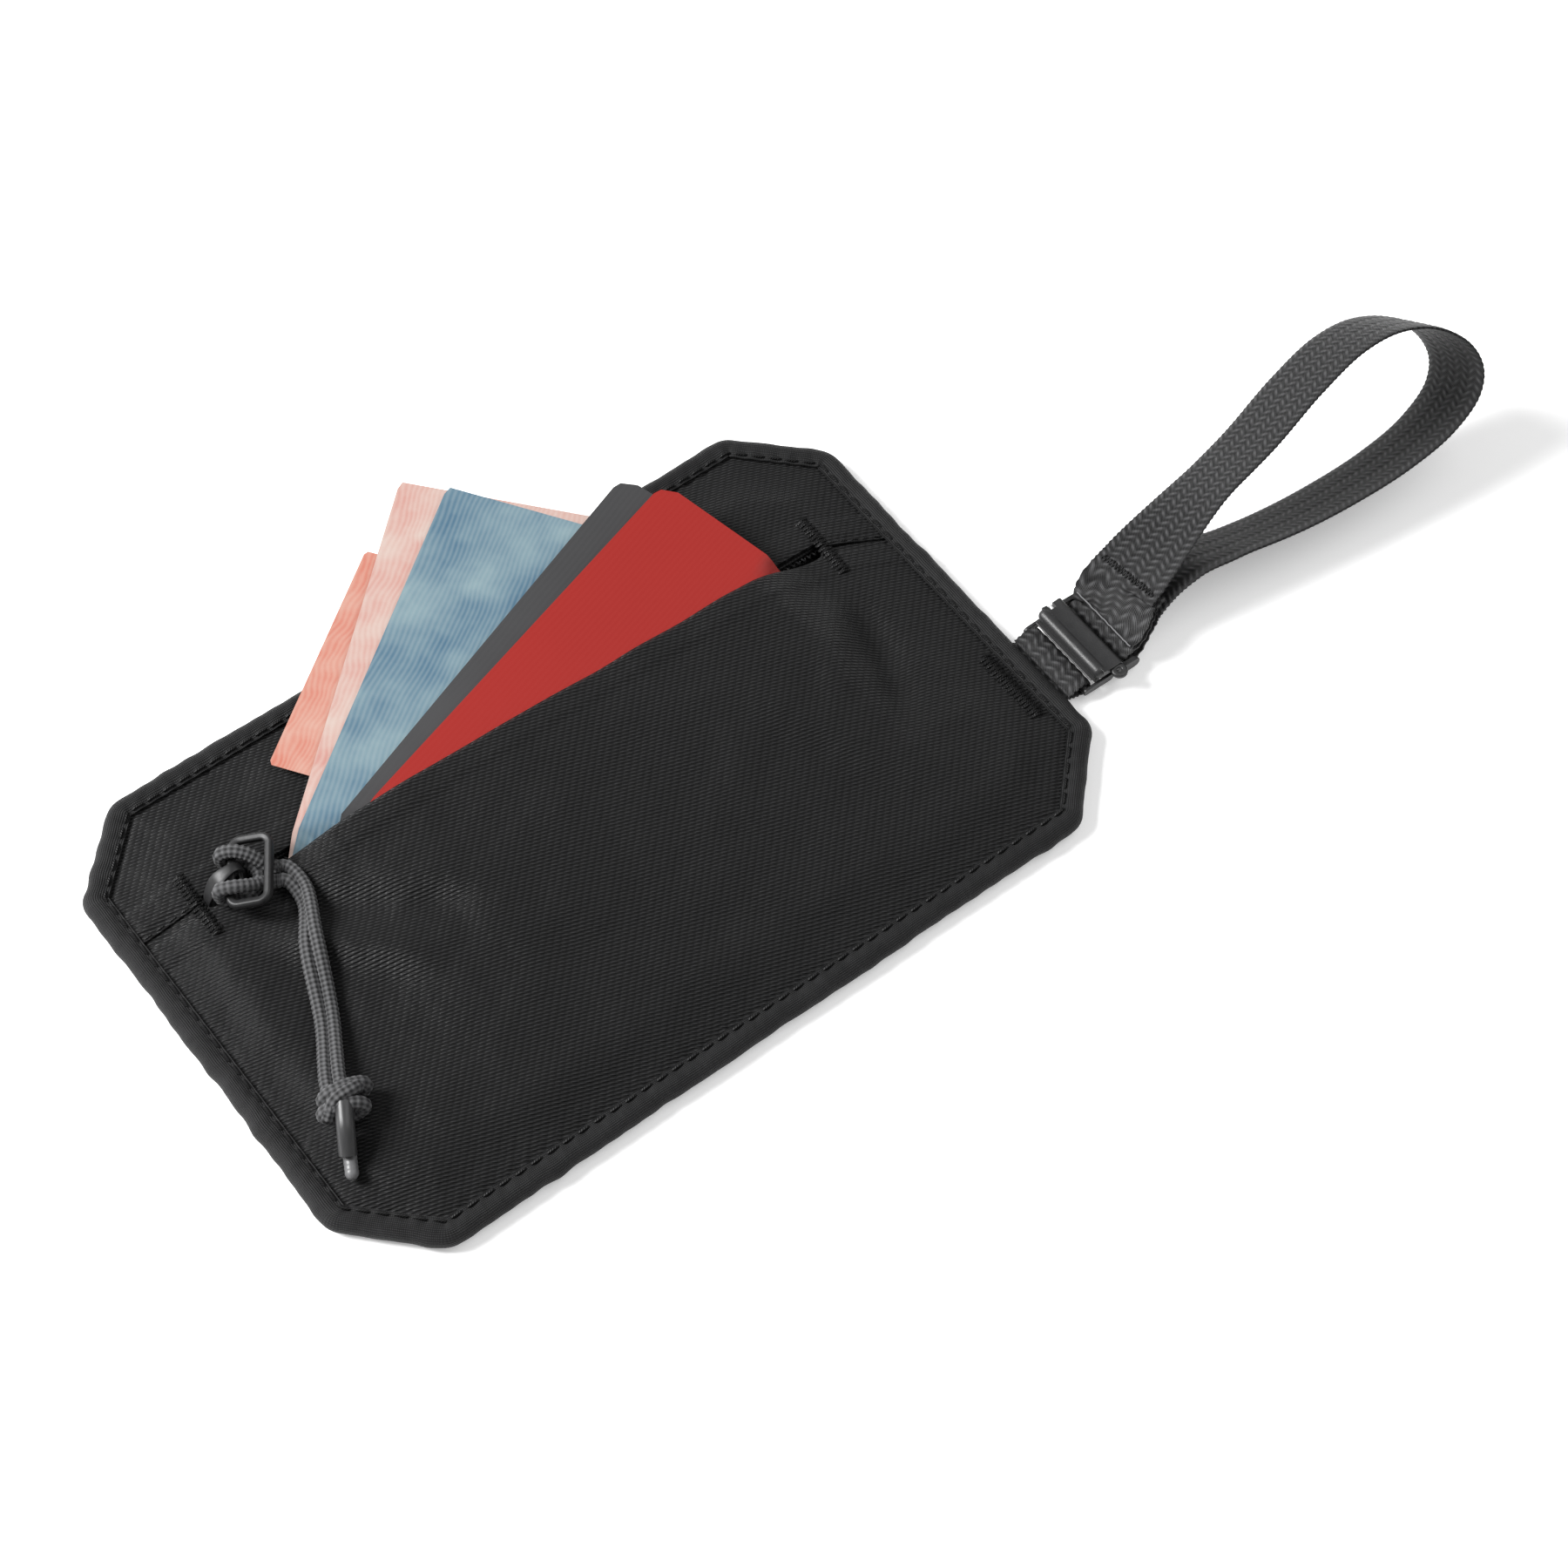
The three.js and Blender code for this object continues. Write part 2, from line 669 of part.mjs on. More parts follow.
// A point of the loop: out from the strap bar, and up across the open loop.
// The loop lies square to the bar there, and leans and turns away further out.
function atLoop(out, up) {
  const roll = loopRoll * ease(out / 6);
  return new THREE.Vector3(
    strapBarX + out,
    tabY + out * loopYaw * ease(out / 10) + up * Math.sin(roll),
    strapBarZ + up * Math.cos(roll),
  );
}

// One length of webbing: cut end on top, out and round the loop, back under, and round the bar.
function addLoop() {
  const turn = 1.45;
  const course = [
    [0.2, 3.4], [4, 5.1], [10, 8.6], [17, 12.2], [25, 16], [38, 21.2], [50, 27], [60, 30.6], [68, 31],
    [75, 28.4], [80, 23.2], [81.2, 18], [79, 13.4], [72, 9], [62, 6.2], [50, 4.7], [38, 4.3],
    [25, 5.2], [17, 6.4], [10, 5.5], [4, 1.7], [1.4, -0.9],
    ...spread(1.5 * Math.PI, 0.5 * Math.PI, 4).map((a) => [turn * Math.cos(a), turn * Math.sin(a)]),
    [2, 2.1], [4, 3.35], [9, 6.6],
  ];
  const points = course.map(([out, up]) => new THREE.Vector3(out, up, 0));
  const along = new THREE.CatmullRomCurve3(points, false, 'centripetal').getPoints(4 * (course.length - 1));
  const sections = along.map((point, i) => {
    const before = along[Math.max(0, i - 1)];
    const after = along[Math.min(along.length - 1, i + 1)];
    return loopSection(before, point, after, webbingWidth / 2, -webbing / 2, webbing / 2);
  });
  add('strap_loop', loft(sections), 'webbing');

  // The bar tack across the sewn stack, just above the top layer.
  const high = -webbing / 2 - 0.3;
  const ends = [new THREE.Vector2(7.4, 7.05), new THREE.Vector2(9, 7.97)];
  const tackSection = (point) => loopSection(ends[0], point, ends[1], 6.3, high - 0.35, high);
  add('strap_bar_tack', loft(ends.map(tackSection)), 'thread');
}

// A four-cornered section across the loop at a point of its course, square to its neighbours.
function loopSection(before, point, after, half, low, high) {
  const tangent = atLoop(after.x, after.y).sub(atLoop(before.x, before.y)).normalize();
  const roll = loopRoll * ease(point.x / 30);
  const across = new THREE.Vector3(0, -Math.cos(roll), Math.sin(roll));
  across.addScaledVector(tangent, -across.dot(tangent)).normalize();
  const normal = new THREE.Vector3().crossVectors(tangent, across);
  const middle = atLoop(point.x, point.y);
  const corner = (w, n) => middle.clone().addScaledVector(across, w).addScaledVector(normal, n);
  return [corner(-half, low), corner(half, low), corner(half, high), corner(-half, high)];
}

addPanels();
addBinding();
addZip();
addSlider();
addRing();
addCord();
addTacks();
addTab();
addCatch();
addHook();
addLoop();

export default scene;
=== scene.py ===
"""The looks of a zipped neck pouch: cloth, binding, zip, cord, webbing and clasp, with light and camera.

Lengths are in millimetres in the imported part's own frame, and turn into metres when a mesh is made.
"""

import json
import math
import random

import bpy
import numpy as np
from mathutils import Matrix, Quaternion, Vector, noise


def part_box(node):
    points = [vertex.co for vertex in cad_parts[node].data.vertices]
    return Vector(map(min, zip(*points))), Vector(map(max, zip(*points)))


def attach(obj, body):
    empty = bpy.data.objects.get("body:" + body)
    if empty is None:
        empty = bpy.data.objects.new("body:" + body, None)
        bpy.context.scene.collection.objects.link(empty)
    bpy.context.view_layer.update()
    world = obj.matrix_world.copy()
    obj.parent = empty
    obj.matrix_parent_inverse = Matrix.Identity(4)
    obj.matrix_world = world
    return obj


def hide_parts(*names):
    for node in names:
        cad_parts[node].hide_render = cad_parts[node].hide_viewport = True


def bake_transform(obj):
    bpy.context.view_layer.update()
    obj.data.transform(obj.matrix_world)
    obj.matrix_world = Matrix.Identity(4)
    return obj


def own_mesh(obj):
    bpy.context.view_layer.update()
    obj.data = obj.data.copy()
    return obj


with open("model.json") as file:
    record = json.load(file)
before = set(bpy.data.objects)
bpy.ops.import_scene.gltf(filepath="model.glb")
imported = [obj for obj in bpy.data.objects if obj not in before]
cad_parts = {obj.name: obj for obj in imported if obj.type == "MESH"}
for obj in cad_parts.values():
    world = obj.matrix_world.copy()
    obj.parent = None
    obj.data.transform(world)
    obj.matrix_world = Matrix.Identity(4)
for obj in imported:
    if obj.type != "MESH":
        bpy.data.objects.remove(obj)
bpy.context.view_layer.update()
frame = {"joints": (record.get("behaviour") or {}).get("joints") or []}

MM = 0.001
scene = bpy.context.scene


def node_box(name):
    """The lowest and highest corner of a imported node, in millimetres."""
    low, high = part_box(name)
    return np.array(low) / MM, np.array(high) / MM


def joint_place(name):
    """A joint's position in millimetres and its axis."""
    joint = next(j for j in frame["joints"] if j["name"] == name)
    return np.array(joint["pos_m"], float) / MM, unit(joint["axis"])


def unit(v):
    """A vector, or each row of vectors, at length 1."""
    v = np.asarray(v, float)
    return v / np.linalg.norm(v, axis=-1, keepdims=True)


def square_to(across, tangent):
    """Directions made square to the tangents, at length 1."""
    return unit(across - tangent * np.sum(across * tangent, axis=-1, keepdims=True))


def lengths(points):
    """Distance along a row of points."""
    steps = np.linalg.norm(np.diff(np.asarray(points, float), axis=0), axis=1)
    return np.concatenate([[0], np.cumsum(steps)])


def grid(u, v):
    """Pairs of every u with every v, as rows and columns."""
    return np.stack(np.meshgrid(u, v, indexing="ij"), -1)


def circle(count):
    """Angles once round."""
    return np.linspace(0, 2 * math.pi, count, endpoint=False)


# --- Sizes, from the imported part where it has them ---

HALF_LENGTH, HALF_WIDTH, BINDING_TOP = node_box("edge_binding")[1]
BACK_HIGH = node_box("back_panel")[1]
EDGE_INSET = HALF_LENGTH - BACK_HIGH[0]
UPPER_LOW, UPPER_HIGH = node_box("front_panel_upper")
SHUT_TOP = UPPER_HIGH[2]
MOUTH_RISE = node_box("front_panel_lower")[1][2] - SHUT_TOP
TACK_LEFT = np.mean(node_box("bar_tack_left"), axis=0)
TACK_RIGHT = np.mean(node_box("bar_tack_right"), axis=0)
ZIP_SLOPE = (TACK_RIGHT[1] - TACK_LEFT[1]) / (TACK_RIGHT[0] - TACK_LEFT[0])
ZIP_MIDDLE = TACK_LEFT[1] - ZIP_SLOPE * TACK_LEFT[0]
MOUTH_HALF = TACK_RIGHT[0]
TAB_LOW, TAB_HIGH = node_box("strap_tab")
TAB_Y = (TAB_LOW[1] + TAB_HIGH[1]) / 2
WEB_WIDTH = TAB_HIGH[1] - TAB_LOW[1]
RING_PLACE, RING_AXIS = joint_place("pull_flip")
STRAP_PLACE = joint_place("strap_swing")[0]

CLOTH = 0.4
EDGE_TOP = UPPER_LOW[2] + CLOTH
CORNER_CUT = 14.0
BAND = 4.3  # the binding's width on the front
LAYER_GAP = 0.25
SWELL = 11.0  # how far in from the binding the front reaches its full height
SLIT_HALF = 1.3
SEAM_HALF = 0.06
MOUTH_SAG = 0.8  # how far the mouth's lower edge draws back where it is lifted
SEAM_TURN = 0.35  # how steeply the closed seam turns down past the mouth
OPENS_FROM = -60.0  # the mouth lifts open over a length from here, and is shut again by SHUTS_BY
OPENS_OVER = 34.0
SHUTS_BY = 62.0
SHUTS_OVER = 16.0
WEB_THICK = 0.9
CORD_RADIUS = 1.2


# --- The pouch's shape, as functions of x and y ---

def ease(t):
    """Smooth step from 0 to 1 as t goes from 0 to 1."""
    t = np.clip(t, 0, 1)
    return t * t * (3 - 2 * t)


def inside_by(x, y):
    """How far a point lies inside the octagon."""
    diagonal = (HALF_LENGTH + HALF_WIDTH - CORNER_CUT - np.abs(x) - np.abs(y)) / math.sqrt(2)
    return np.minimum(np.minimum(HALF_LENGTH - np.abs(x), HALF_WIDTH - np.abs(y)), diagonal)


def half_width_at(x, inset):
    """Half the octagon's width in y at x, for an outline moved inwards by inset."""
    corner = HALF_LENGTH - inset - CORNER_CUT + inset * (2 - math.sqrt(2))
    return HALF_WIDTH - inset - np.maximum(0, np.abs(x) - corner)


def zip_y(x):
    """The zip's line; past the mouth's right end its seam turns down to the edge."""
    return ZIP_MIDDLE + ZIP_SLOPE * x - SEAM_TURN * np.maximum(0, x - MOUTH_HALF)


def openness(x):
    """How open the mouth stands along its length, from 0 to 1."""
    return ease((x - OPENS_FROM) / OPENS_OVER) * ease((SHUTS_BY - x) / SHUTS_OVER)


def mouth_edge(x, half=SLIT_HALF):
    """The edge of the lower front at the mouth, half the slit's width below the zip's line."""
    return zip_y(x) - half - MOUTH_SAG * openness(x)


def front_top(x, y):
    """The front's smooth swell from the binding to the zip."""
    return EDGE_TOP + (SHUT_TOP - EDGE_TOP) * ease((inside_by(x, y) - BAND - LAYER_GAP) / SWELL)


def pocket_top(x, y):
    """The lower front, which also rises towards the open mouth."""
    climb = (y + HALF_WIDTH - BAND) / (zip_y(x) + HALF_WIDTH - BAND)
    return front_top(x, y) + MOUTH_RISE * openness(x) * ease(climb)


def rough(x, y, size, seed=0.0):
    """Smooth noise from about -1 to 1 over the plane, for arrays of x and y."""
    x, y = np.broadcast_arrays(x, y)
    flat = [noise.noise(Vector((a / size, b / size, seed))) for a, b in zip(x.ravel(), y.ravel())]
    return np.array(flat).reshape(x.shape) * 1.6


# --- Meshes ---

def shell(rings, uv=None, closed=False, cap="fan"):
    """Skins rows of closed sections. uv holds one more row and column than the spans between them."""
    rings = np.asarray(rings, float)
    rows, sides = rings.shape[:2]
    spans = rows if closed else rows - 1
    if uv is None:
        uv = np.zeros((spans + 1, sides + 1, 2))
    i, j = (a.ravel() for a in np.meshgrid(np.arange(spans), np.arange(sides), indexing="ij"))
    far, side = (i + 1) % rows, (j + 1) % sides
    faces = np.stack([i * sides + j, far * sides + j, far * sides + side, i * sides + side], 1).tolist()
    corners = np.stack([uv[i, j], uv[i + 1, j], uv[i + 1, j + 1], uv[i, j + 1]], 1).reshape(-1, 2)
    if not closed:
        near = list(range(sides))
        for row, order in ((0, near), (rows - 1, near[::-1])):
            groups = [order]
            if cap == "strip":
                pairs = range(sides // 2 - 1)
                groups = [(order[k], order[k + 1], order[-2 - k], order[-1 - k]) for k in pairs]
            for group in groups:
                faces.append([row * sides + k for k in group])
                corners = np.vstack([corners, [uv[min(row, spans), k] for k in group]])
    points = rings.reshape(-1, 3)
    if volume(points, faces) < 0:
        starts = np.cumsum([0] + [len(f) for f in faces])
        order = np.concatenate([np.arange(b - 1, a - 1, -1) for a, b in zip(starts[:-1], starts[1:])])
        corners = corners[order]
        faces = [f[::-1] for f in faces]
    return points, faces, corners


def volume(points, faces):
    """Six times the signed volume inside the faces."""
    total = 0.0
    quads = np.array([f for f in faces if len(f) == 4])
    groups = [quads] if len(quads) else []
    groups += [np.array([f]) for f in faces if len(f) != 4]
    for group in groups:
        a = points[group[:, 0]]
        for k in range(1, group.shape[1] - 1):
            total += np.einsum("ij,ij->", a, np.cross(points[group[:, k]], points[group[:, k + 1]]))
    return total


def prism(outline, low, high, place):
    """An outline of (a, b) points carried from low to high; place(a, b, c) gives each point."""
    rings = [[place(a, b, c) for a, b in outline] for c in (low, high)]
    return shell(rings)


def piece(name, shells, material, body="pouch", stands_for=(), bevel=None):
    """One mesh object from closed shells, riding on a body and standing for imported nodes."""
    points, faces, corners, first = [], [], [], 0
    for shell_points, shell_faces, shell_corners in shells:
        points.append(shell_points)
        faces += [[k + first for k in f] for f in shell_faces]
        corners.append(shell_corners)
        first += len(shell_points)
    mesh = bpy.data.meshes.new(name)
    mesh.from_pydata((np.vstack(points) * MM).tolist(), [], faces)
    layer = mesh.uv_layers.new(name="mm")
    layer.data.foreach_set("uv", np.vstack(corners).ravel())
    mesh.polygons.foreach_set("use_smooth", [True] * len(faces))
    mesh.materials.append(material)
    mesh.update()
    obj = bpy.data.objects.new(name, mesh)
    scene.collection.objects.link(obj)
    if bevel:
        soften = obj.modifiers.new("soften", "BEVEL")
        soften.width = bevel * MM
        soften.segments = 3
        soften.limit_method = "ANGLE"
        soften.angle_limit = math.radians(35)
        soften.harden_normals = True
    else:
        mesh.set_sharp_from_angle(angle=math.radians(50))
    if body:
        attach(obj, body)
    if stands_for:
        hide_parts(*stands_for)
    return obj


def course(points, step, closed=False):
    """A smooth curve through the points, sampled about every step (a centripetal Catmull-Rom spline)."""
    points = np.asarray(points, float)
    if closed:
        points = np.vstack([points[-1], points, points[0], points[1]])
    else:
        points = np.vstack([2 * points[0] - points[1], points, 2 * points[-1] - points[-2]])
    out = []
    for a, b, c, d in zip(points[:-3], points[1:-2], points[2:-1], points[3:]):
        gaps = [max(1e-4, np.linalg.norm(q - p)) ** 0.5 for p, q in ((a, b), (b, c), (c, d))]
        k0, k1, k2, k3 = np.cumsum([0] + gaps)
        count = max(2, int(np.ceil(np.linalg.norm(c - b) / step)))
        for t in np.linspace(k1, k2, count, endpoint=False):
            ab = mixed(a, b, k0, k1, t)
            bc = mixed(b, c, k1, k2, t)
            cd = mixed(c, d, k2, k3, t)
            out.append(mixed(mixed(ab, bc, k0, k2, t), mixed(bc, cd, k1, k3, t), k1, k2, t))
    if not closed:
        out.append(points[-2])
    return np.array(out)


def mixed(p, q, low, high, t):
    """From p at low to q at high."""
    return ((high - t) * p + (t - low) * q) / (high - low)


def along(path, closed=False):
    """Distance along a path, tangents, and two directions square to it that don't spin."""
    after = np.roll(path, -1, 0) if closed else np.vstack([path[1:], 2 * path[-1] - path[-2]])
    before = np.roll(path, 1, 0) if closed else np.vstack([2 * path[0] - path[1], path[:-1]])
    tangent = unit(after - before)
    start = np.cross(tangent[0], (0, 0, 1.0))
    if np.linalg.norm(start) < 0.1:
        start = np.cross(tangent[0], (0, 1.0, 0))
    side = [unit(start)]
    for t in tangent[1:]:
        side.append(square_to(side[-1], t))
    side = np.array(side)
    return lengths(path), tangent, side, np.cross(tangent, side)


def tube(path, radius, sides=10, closed=False, relief=None, round_ends=False):
    """A round bar along a path. relief(distance, angle) is added to its radius."""
    distance, tangent, side, up = along(path, closed)
    angle = circle(sides)
    reach = np.full((len(path), sides), float(radius))
    if relief is not None:
        reach += relief(distance[:, None], angle[None, :])
    spin = np.zeros(len(path))
    u = distance
    if closed:
        up_end = side[-1] - tangent[0] * (side[-1] @ tangent[0])
        spin = math.atan2(up_end @ up[0], up_end @ side[0]) * distance / distance[-1]
        u = np.append(distance, distance[-1] + np.linalg.norm(path[0] - path[-1]))
    turned = angle[None, :] - spin[:, None]
    if round_ends:
        from_end = np.minimum(distance, distance[-1] - distance)
        reach *= np.sqrt(np.clip(1 - (1 - np.clip(from_end / radius, 0, 1)) ** 2, 0.02, 1))[:, None]
    rings = (
        path[:, None]
        + side[:, None] * (reach * np.cos(turned))[..., None]
        + up[:, None] * (reach * np.sin(turned))[..., None]
    )
    return shell(rings, grid(u, np.linspace(0, 2 * math.pi * radius, sides + 1)), closed)


def sheet(xs, y_low, y_high, shares, top, thickness):
    """Cloth over the columns xs, between two edges, with its top at top(x, y)."""
    x = xs[:, None] + 0 * shares[None, :]
    y = y_low(xs)[:, None] * (1 - shares) + y_high(xs)[:, None] * shares
    z = top(x, y)
    upper = np.stack([x, y, z], -1)
    lower = np.stack([x, y, z - thickness(x, y)], -1)[:, ::-1]
    rings = np.concatenate([upper, lower], axis=1)
    uv = np.concatenate([rings, rings[:, :1]], axis=1)[..., :2]
    return shell(rings, uv, cap="strip")


# --- Materials ---

class Finish:
    """A node material, with short ways to write its pattern. Patterns run on millimetres along the mesh."""

    def __init__(self, name, roughness=0.5, specular=0.5, metallic=0.0):
        self.material = bpy.data.materials.new(name)
        self.material.use_nodes = True
        self.tree = self.material.node_tree
        self.surface = self.tree.nodes["Principled BSDF"]
        self.set("Roughness", roughness)
        self.set("Specular IOR Level", specular)
        self.set("Metallic", metallic)
        self.place = self.add("ShaderNodeUVMap", uv_map="mm").outputs[0]
        split = self.add("ShaderNodeSeparateXYZ", self.place)
        self.u, self.v = split.outputs[0], split.outputs[1]

    def add(self, kind, *values, **settings):
        """A node with its inputs set or linked in order."""
        made = self.tree.nodes.new(kind)
        for key, value in settings.items():
            setattr(made, key, value)
        for place, value in enumerate(values):
            self.join(value, made.inputs[place])
        return made

    def join(self, value, socket):
        if isinstance(value, bpy.types.NodeSocket):
            self.tree.links.new(value, socket)
        else:
            socket.default_value = value

    def set(self, name, value):
        self.join(value, self.surface.inputs[name])

    def math(self, operation, *values):
        return self.add("ShaderNodeMath", *values, operation=operation).outputs[0]

    def times(self, a, b):
        return self.math("MULTIPLY", a, b)

    def line(self, value, slope, base):
        """value * slope + base."""
        return self.math("MULTIPLY_ADD", value, slope, base)

    def swing(self, value, period):
        """A cosine from -1 to 1 of a length, with the given period."""
        return self.math("COSINE", self.times(value, 2 * math.pi / period))

    def wave(self, value, period):
        """The same from 0 to 1."""
        return self.line(self.swing(value, period), 0.5, 0.5)

    def slanted(self, slope, period):
        """Waves that run at a slant across the mesh's width."""
        return self.wave(self.line(self.v, slope, self.u), period)

    def cloud(self, size, detail=2.0, place=None):
        """Noise from 0 to 1 with features about size long."""
        made = self.add("ShaderNodeTexNoise", place or self.place, noise_dimensions="3D")
        made.inputs["Scale"].default_value = 1.0 / size
        made.inputs["Detail"].default_value = detail
        return made.outputs["Fac"]

    def solid(self):
        """Places in metres through the piece, for a grain with no direction."""
        return self.add("ShaderNodeTexCoord").outputs["Object"]

    def blend(self, share, dark, light):
        """A colour between two colours, by a share from 0 to 1."""
        ramp = self.add("ShaderNodeValToRGB", share)
        ramp.color_ramp.elements[0].color = (*dark, 1)
        ramp.color_ramp.elements[1].color = (*light, 1)
        return ramp.outputs[0]

    def greys(self, share, level, dark, light):
        """Greys about a level, between two multiples of it."""
        self.set("Base Color", self.blend(share, grey(level * dark), grey(level * light)))

    def relief(self, height, depth, under=None):
        """Bump of the given depth in millimetres, over another bump."""
        bump = self.add("ShaderNodeBump")
        bump.inputs["Distance"].default_value = depth * MM
        self.join(height, bump.inputs["Height"])
        if under is not None:
            self.join(under, bump.inputs["Normal"])
        return bump.outputs[0]

    def bump(self, height, depth, under=None):
        self.set("Normal", self.relief(height, depth, under))


def grey(level):
    """A black or grey with a trace of blue."""
    return (level, level, level * 1.03)


PLAIT_LENGTH = 1.8
PLAITS = 4
FLOAT = 1.35  # one herringbone float's length
COLUMN = 1.875  # one herringbone column's width
LEAN = 0.55  # how far the floats slant along, for each millimetre across


def plait_height(distance, angle):
    """A round braid's bumps, from 0 to 1, by distance along it and angle round it."""
    turn = 2 * math.pi * distance / PLAIT_LENGTH
    return 0.5 + 0.5 * np.cos(PLAITS * angle + turn) * np.cos(PLAITS * angle - turn)


def float_height(distance, across):
    """The webbing's herringbone floats, from 0 to 1, by distance along it and across it."""
    zigzag_by = COLUMN - np.abs(np.mod(across, 2 * COLUMN) - COLUMN)
    rib = 0.5 + 0.5 * np.cos(2 * math.pi * (distance + LEAN * zigzag_by) / FLOAT)
    return rib * (0.725 - 0.275 * np.cos(2 * math.pi * across / COLUMN))


def cloth_finish(level=0.0085, period=0.62):
    """Fine nylon oxford: staggered rows of small yarn floats, with a soft sheen; the floats' height is also
    painted into the colour, as light on their tops and shade between them.
    """
    f = Finish("cloth", specular=0.15)
    slant = math.radians(17)
    rows = f.wave(f.line(f.u, math.sin(slant), f.times(f.v, math.cos(slant))), period)
    weave = f.times(rows, f.line(f.slanted(0.9, period * 1.5), 0.65, 0.35))
    patches = f.cloud(17.0, 3.0)
    # Painted shade between the yarn floats and painted light on their tops, taken from the weave's height,
    # over a random tone from the clouds.
    tone_with_painted_shade = f.line(weave, 0.8, f.times(f.math("ADD", patches, f.cloud(1.1)), 0.1))
    f.greys(tone_with_painted_shade, level, 0.02, 3.4)
    f.set("Roughness", f.line(patches, 0.16, 0.36))
    f.set("Sheen Weight", 0.02)
    f.bump(weave, 0.22, f.relief(f.cloud(6.0, 3.0), 0.6))
    return f.material


def tape_finish(name="binding", level=0.011, period=0.36):
    """Grosgrain tape with fine ribs along it; u runs along the tape. The ribs' height is also painted into
    the colour as light and shade.
    """
    f = Finish(name, 0.55, 0.16)
    weave = f.times(f.wave(f.v, period), f.line(f.wave(f.u, period * 0.9), 0.6, 0.4))
    worn = f.cloud(5.0, 3.0)
    # Painted light on the ribs and painted shade between them, from the weave's height, over a random tone
    # from the worn cloud.
    f.greys(f.line(worn, 0.4, f.times(weave, 0.55)), level, 0.1, 2.6)
    f.set("Sheen Weight", 0.02)
    f.bump(weave, 0.1, f.relief(worn, 0.6))
    return f.material


def thread_finish(level=0.006):
    """Twisted thread; u runs along it and v round it. The twist is also painted into the colour as light on
    its ridges and shade in its grooves.
    """
    f = Finish("thread", 0.48, 0.2)
    twist = f.slanted(0.7, 0.45)
    # Painted light on the twist's ridges and painted shade in its grooves.
    f.greys(twist, level, 0.4, 2.2)
    f.bump(twist, 0.05)
    return f.material


def webbing_finish(level=0.021):
    """Herringbone webbing: the mesh carries the big floats, the bump their filaments; the floats' height is
    also painted into the colour, as light on their tops and shade between them.
    """
    f = Finish("webbing", specular=0.2)
    rib = f.wave(f.line(f.math("PINGPONG", f.v, COLUMN), LEAN, f.u), FLOAT)
    height = f.math("POWER", f.times(rib, f.line(f.swing(f.v, COLUMN), -0.275, 0.725)), 1.8)
    grain = f.cloud(0.7)
    # Colour from the floats' height: painted light on their tops and painted shade between them, with a
    # random grain.
    f.greys(f.line(height, 0.75, f.times(grain, 0.25)), level, 0.05, 3.6)
    f.set("Roughness", f.line(grain, 0.2, 0.38))
    f.set("Sheen Weight", 0.03)
    f.bump(f.math("ADD", f.slanted(0.8, 0.3), grain), 0.05)
    return f.material


def cord_finish(level=0.06):
    """Braided cord: the mesh carries the plaits, the bump their filaments; both are also painted into the
    colour, as shade in the gaps and light on the crowns.
    """
    f = Finish("cord", 0.6, 0.2)
    lead = PLAIT_LENGTH * PLAITS / (2 * math.pi * CORD_RADIUS)
    one = f.swing(f.line(f.v, lead, f.u), PLAIT_LENGTH)
    other = f.swing(f.line(f.v, -lead, f.u), PLAIT_LENGTH)
    filaments = f.slanted(1.4, 0.2)
    # Painted shade in the gaps between the plaits and filaments, and painted light on their crowns.
    tone_with_painted_shade = f.line(f.line(f.times(one, other), 0.5, 0.5), 0.8, f.times(filaments, 0.2))
    f.greys(tone_with_painted_shade, level, 0.04, 2.3)
    f.set("Sheen Weight", 0.05)
    f.bump(filaments, 0.04)
    return f.material


def smooth_finish(name, level):
    """Smooth or fused plastic with faint streaks along it."""
    f = Finish(name, 0.4)
    stretched = f.add("ShaderNodeVectorMath", f.place, (0.25, 1, 1), operation="MULTIPLY").outputs[0]
    streak = f.cloud(0.8, 3.0, stretched)
    f.greys(streak, level, 0.6, 1.4)
    f.bump(streak, 0.06)
    return f.material


def metal_finish(name="zip_metal", level=0.022, roughness=0.44):
    """Satin black plated metal with faint wear."""
    f = Finish(name, specular=0.4, metallic=0.35)
    wear = f.cloud(0.9 * MM, 3.0, f.solid())
    f.greys(wear, level, 0.75, 1.3)
    f.set("Roughness", f.line(wear, 0.2, roughness - 0.1))
    f.bump(wear, 0.012)
    return f.material


def clasp_finish(level=0.02):
    """Black finish with a fine pebble grain."""
    f = Finish("clasp", specular=0.45)
    solid = f.solid()
    grain = f.cloud(0.22 * MM, 2.0, solid)
    patches = f.cloud(1.6 * MM, 2.0, solid)
    f.greys(f.line(grain, 0.7, f.times(patches, 0.3)), level, 0.5, 1.6)
    f.set("Roughness", f.line(patches, 0.15, 0.34))
    f.bump(grain, 0.03)
    return f.material


def coil_finish(level=0.02):
    """Nylon monofilament."""
    f = Finish("zip_coil", 0.35)
    f.greys(f.cloud(1.5), level, 0.6, 1.5)
    return f.material


CLOTH_FINISH = cloth_finish()
BINDING_FINISH = tape_finish()
ZIP_TAPE_FINISH = tape_finish("zip_tape", 0.022, 0.7)
THREAD_FINISH = thread_finish()
WEBBING_FINISH = webbing_finish()
CORD_FINISH = cord_finish()
METAL_FINISH = metal_finish()
CLASP_FINISH = clasp_finish()
COIL_FINISH = coil_finish()
SLEEVE_FINISH = smooth_finish("cord_sleeve", 0.03)
# Near black: painted shade that stands for the sleeve's hollow end.
HOLLOW_SHADE_FINISH = smooth_finish("cord_hollow_painted_shade", 0.004)
CORD_END_FINISH = smooth_finish("cord_end", 0.11)
CUT_END_FINISH = smooth_finish("cut_end", 0.16)
# Pale metal for two bars in the clasp's notch: a painted glint that stands for the bright lines at its edges.
NOTCH_GLINT_FINISH = metal_finish("painted_notch_glint", 0.55, 0.3)


# --- Cloth panels ---

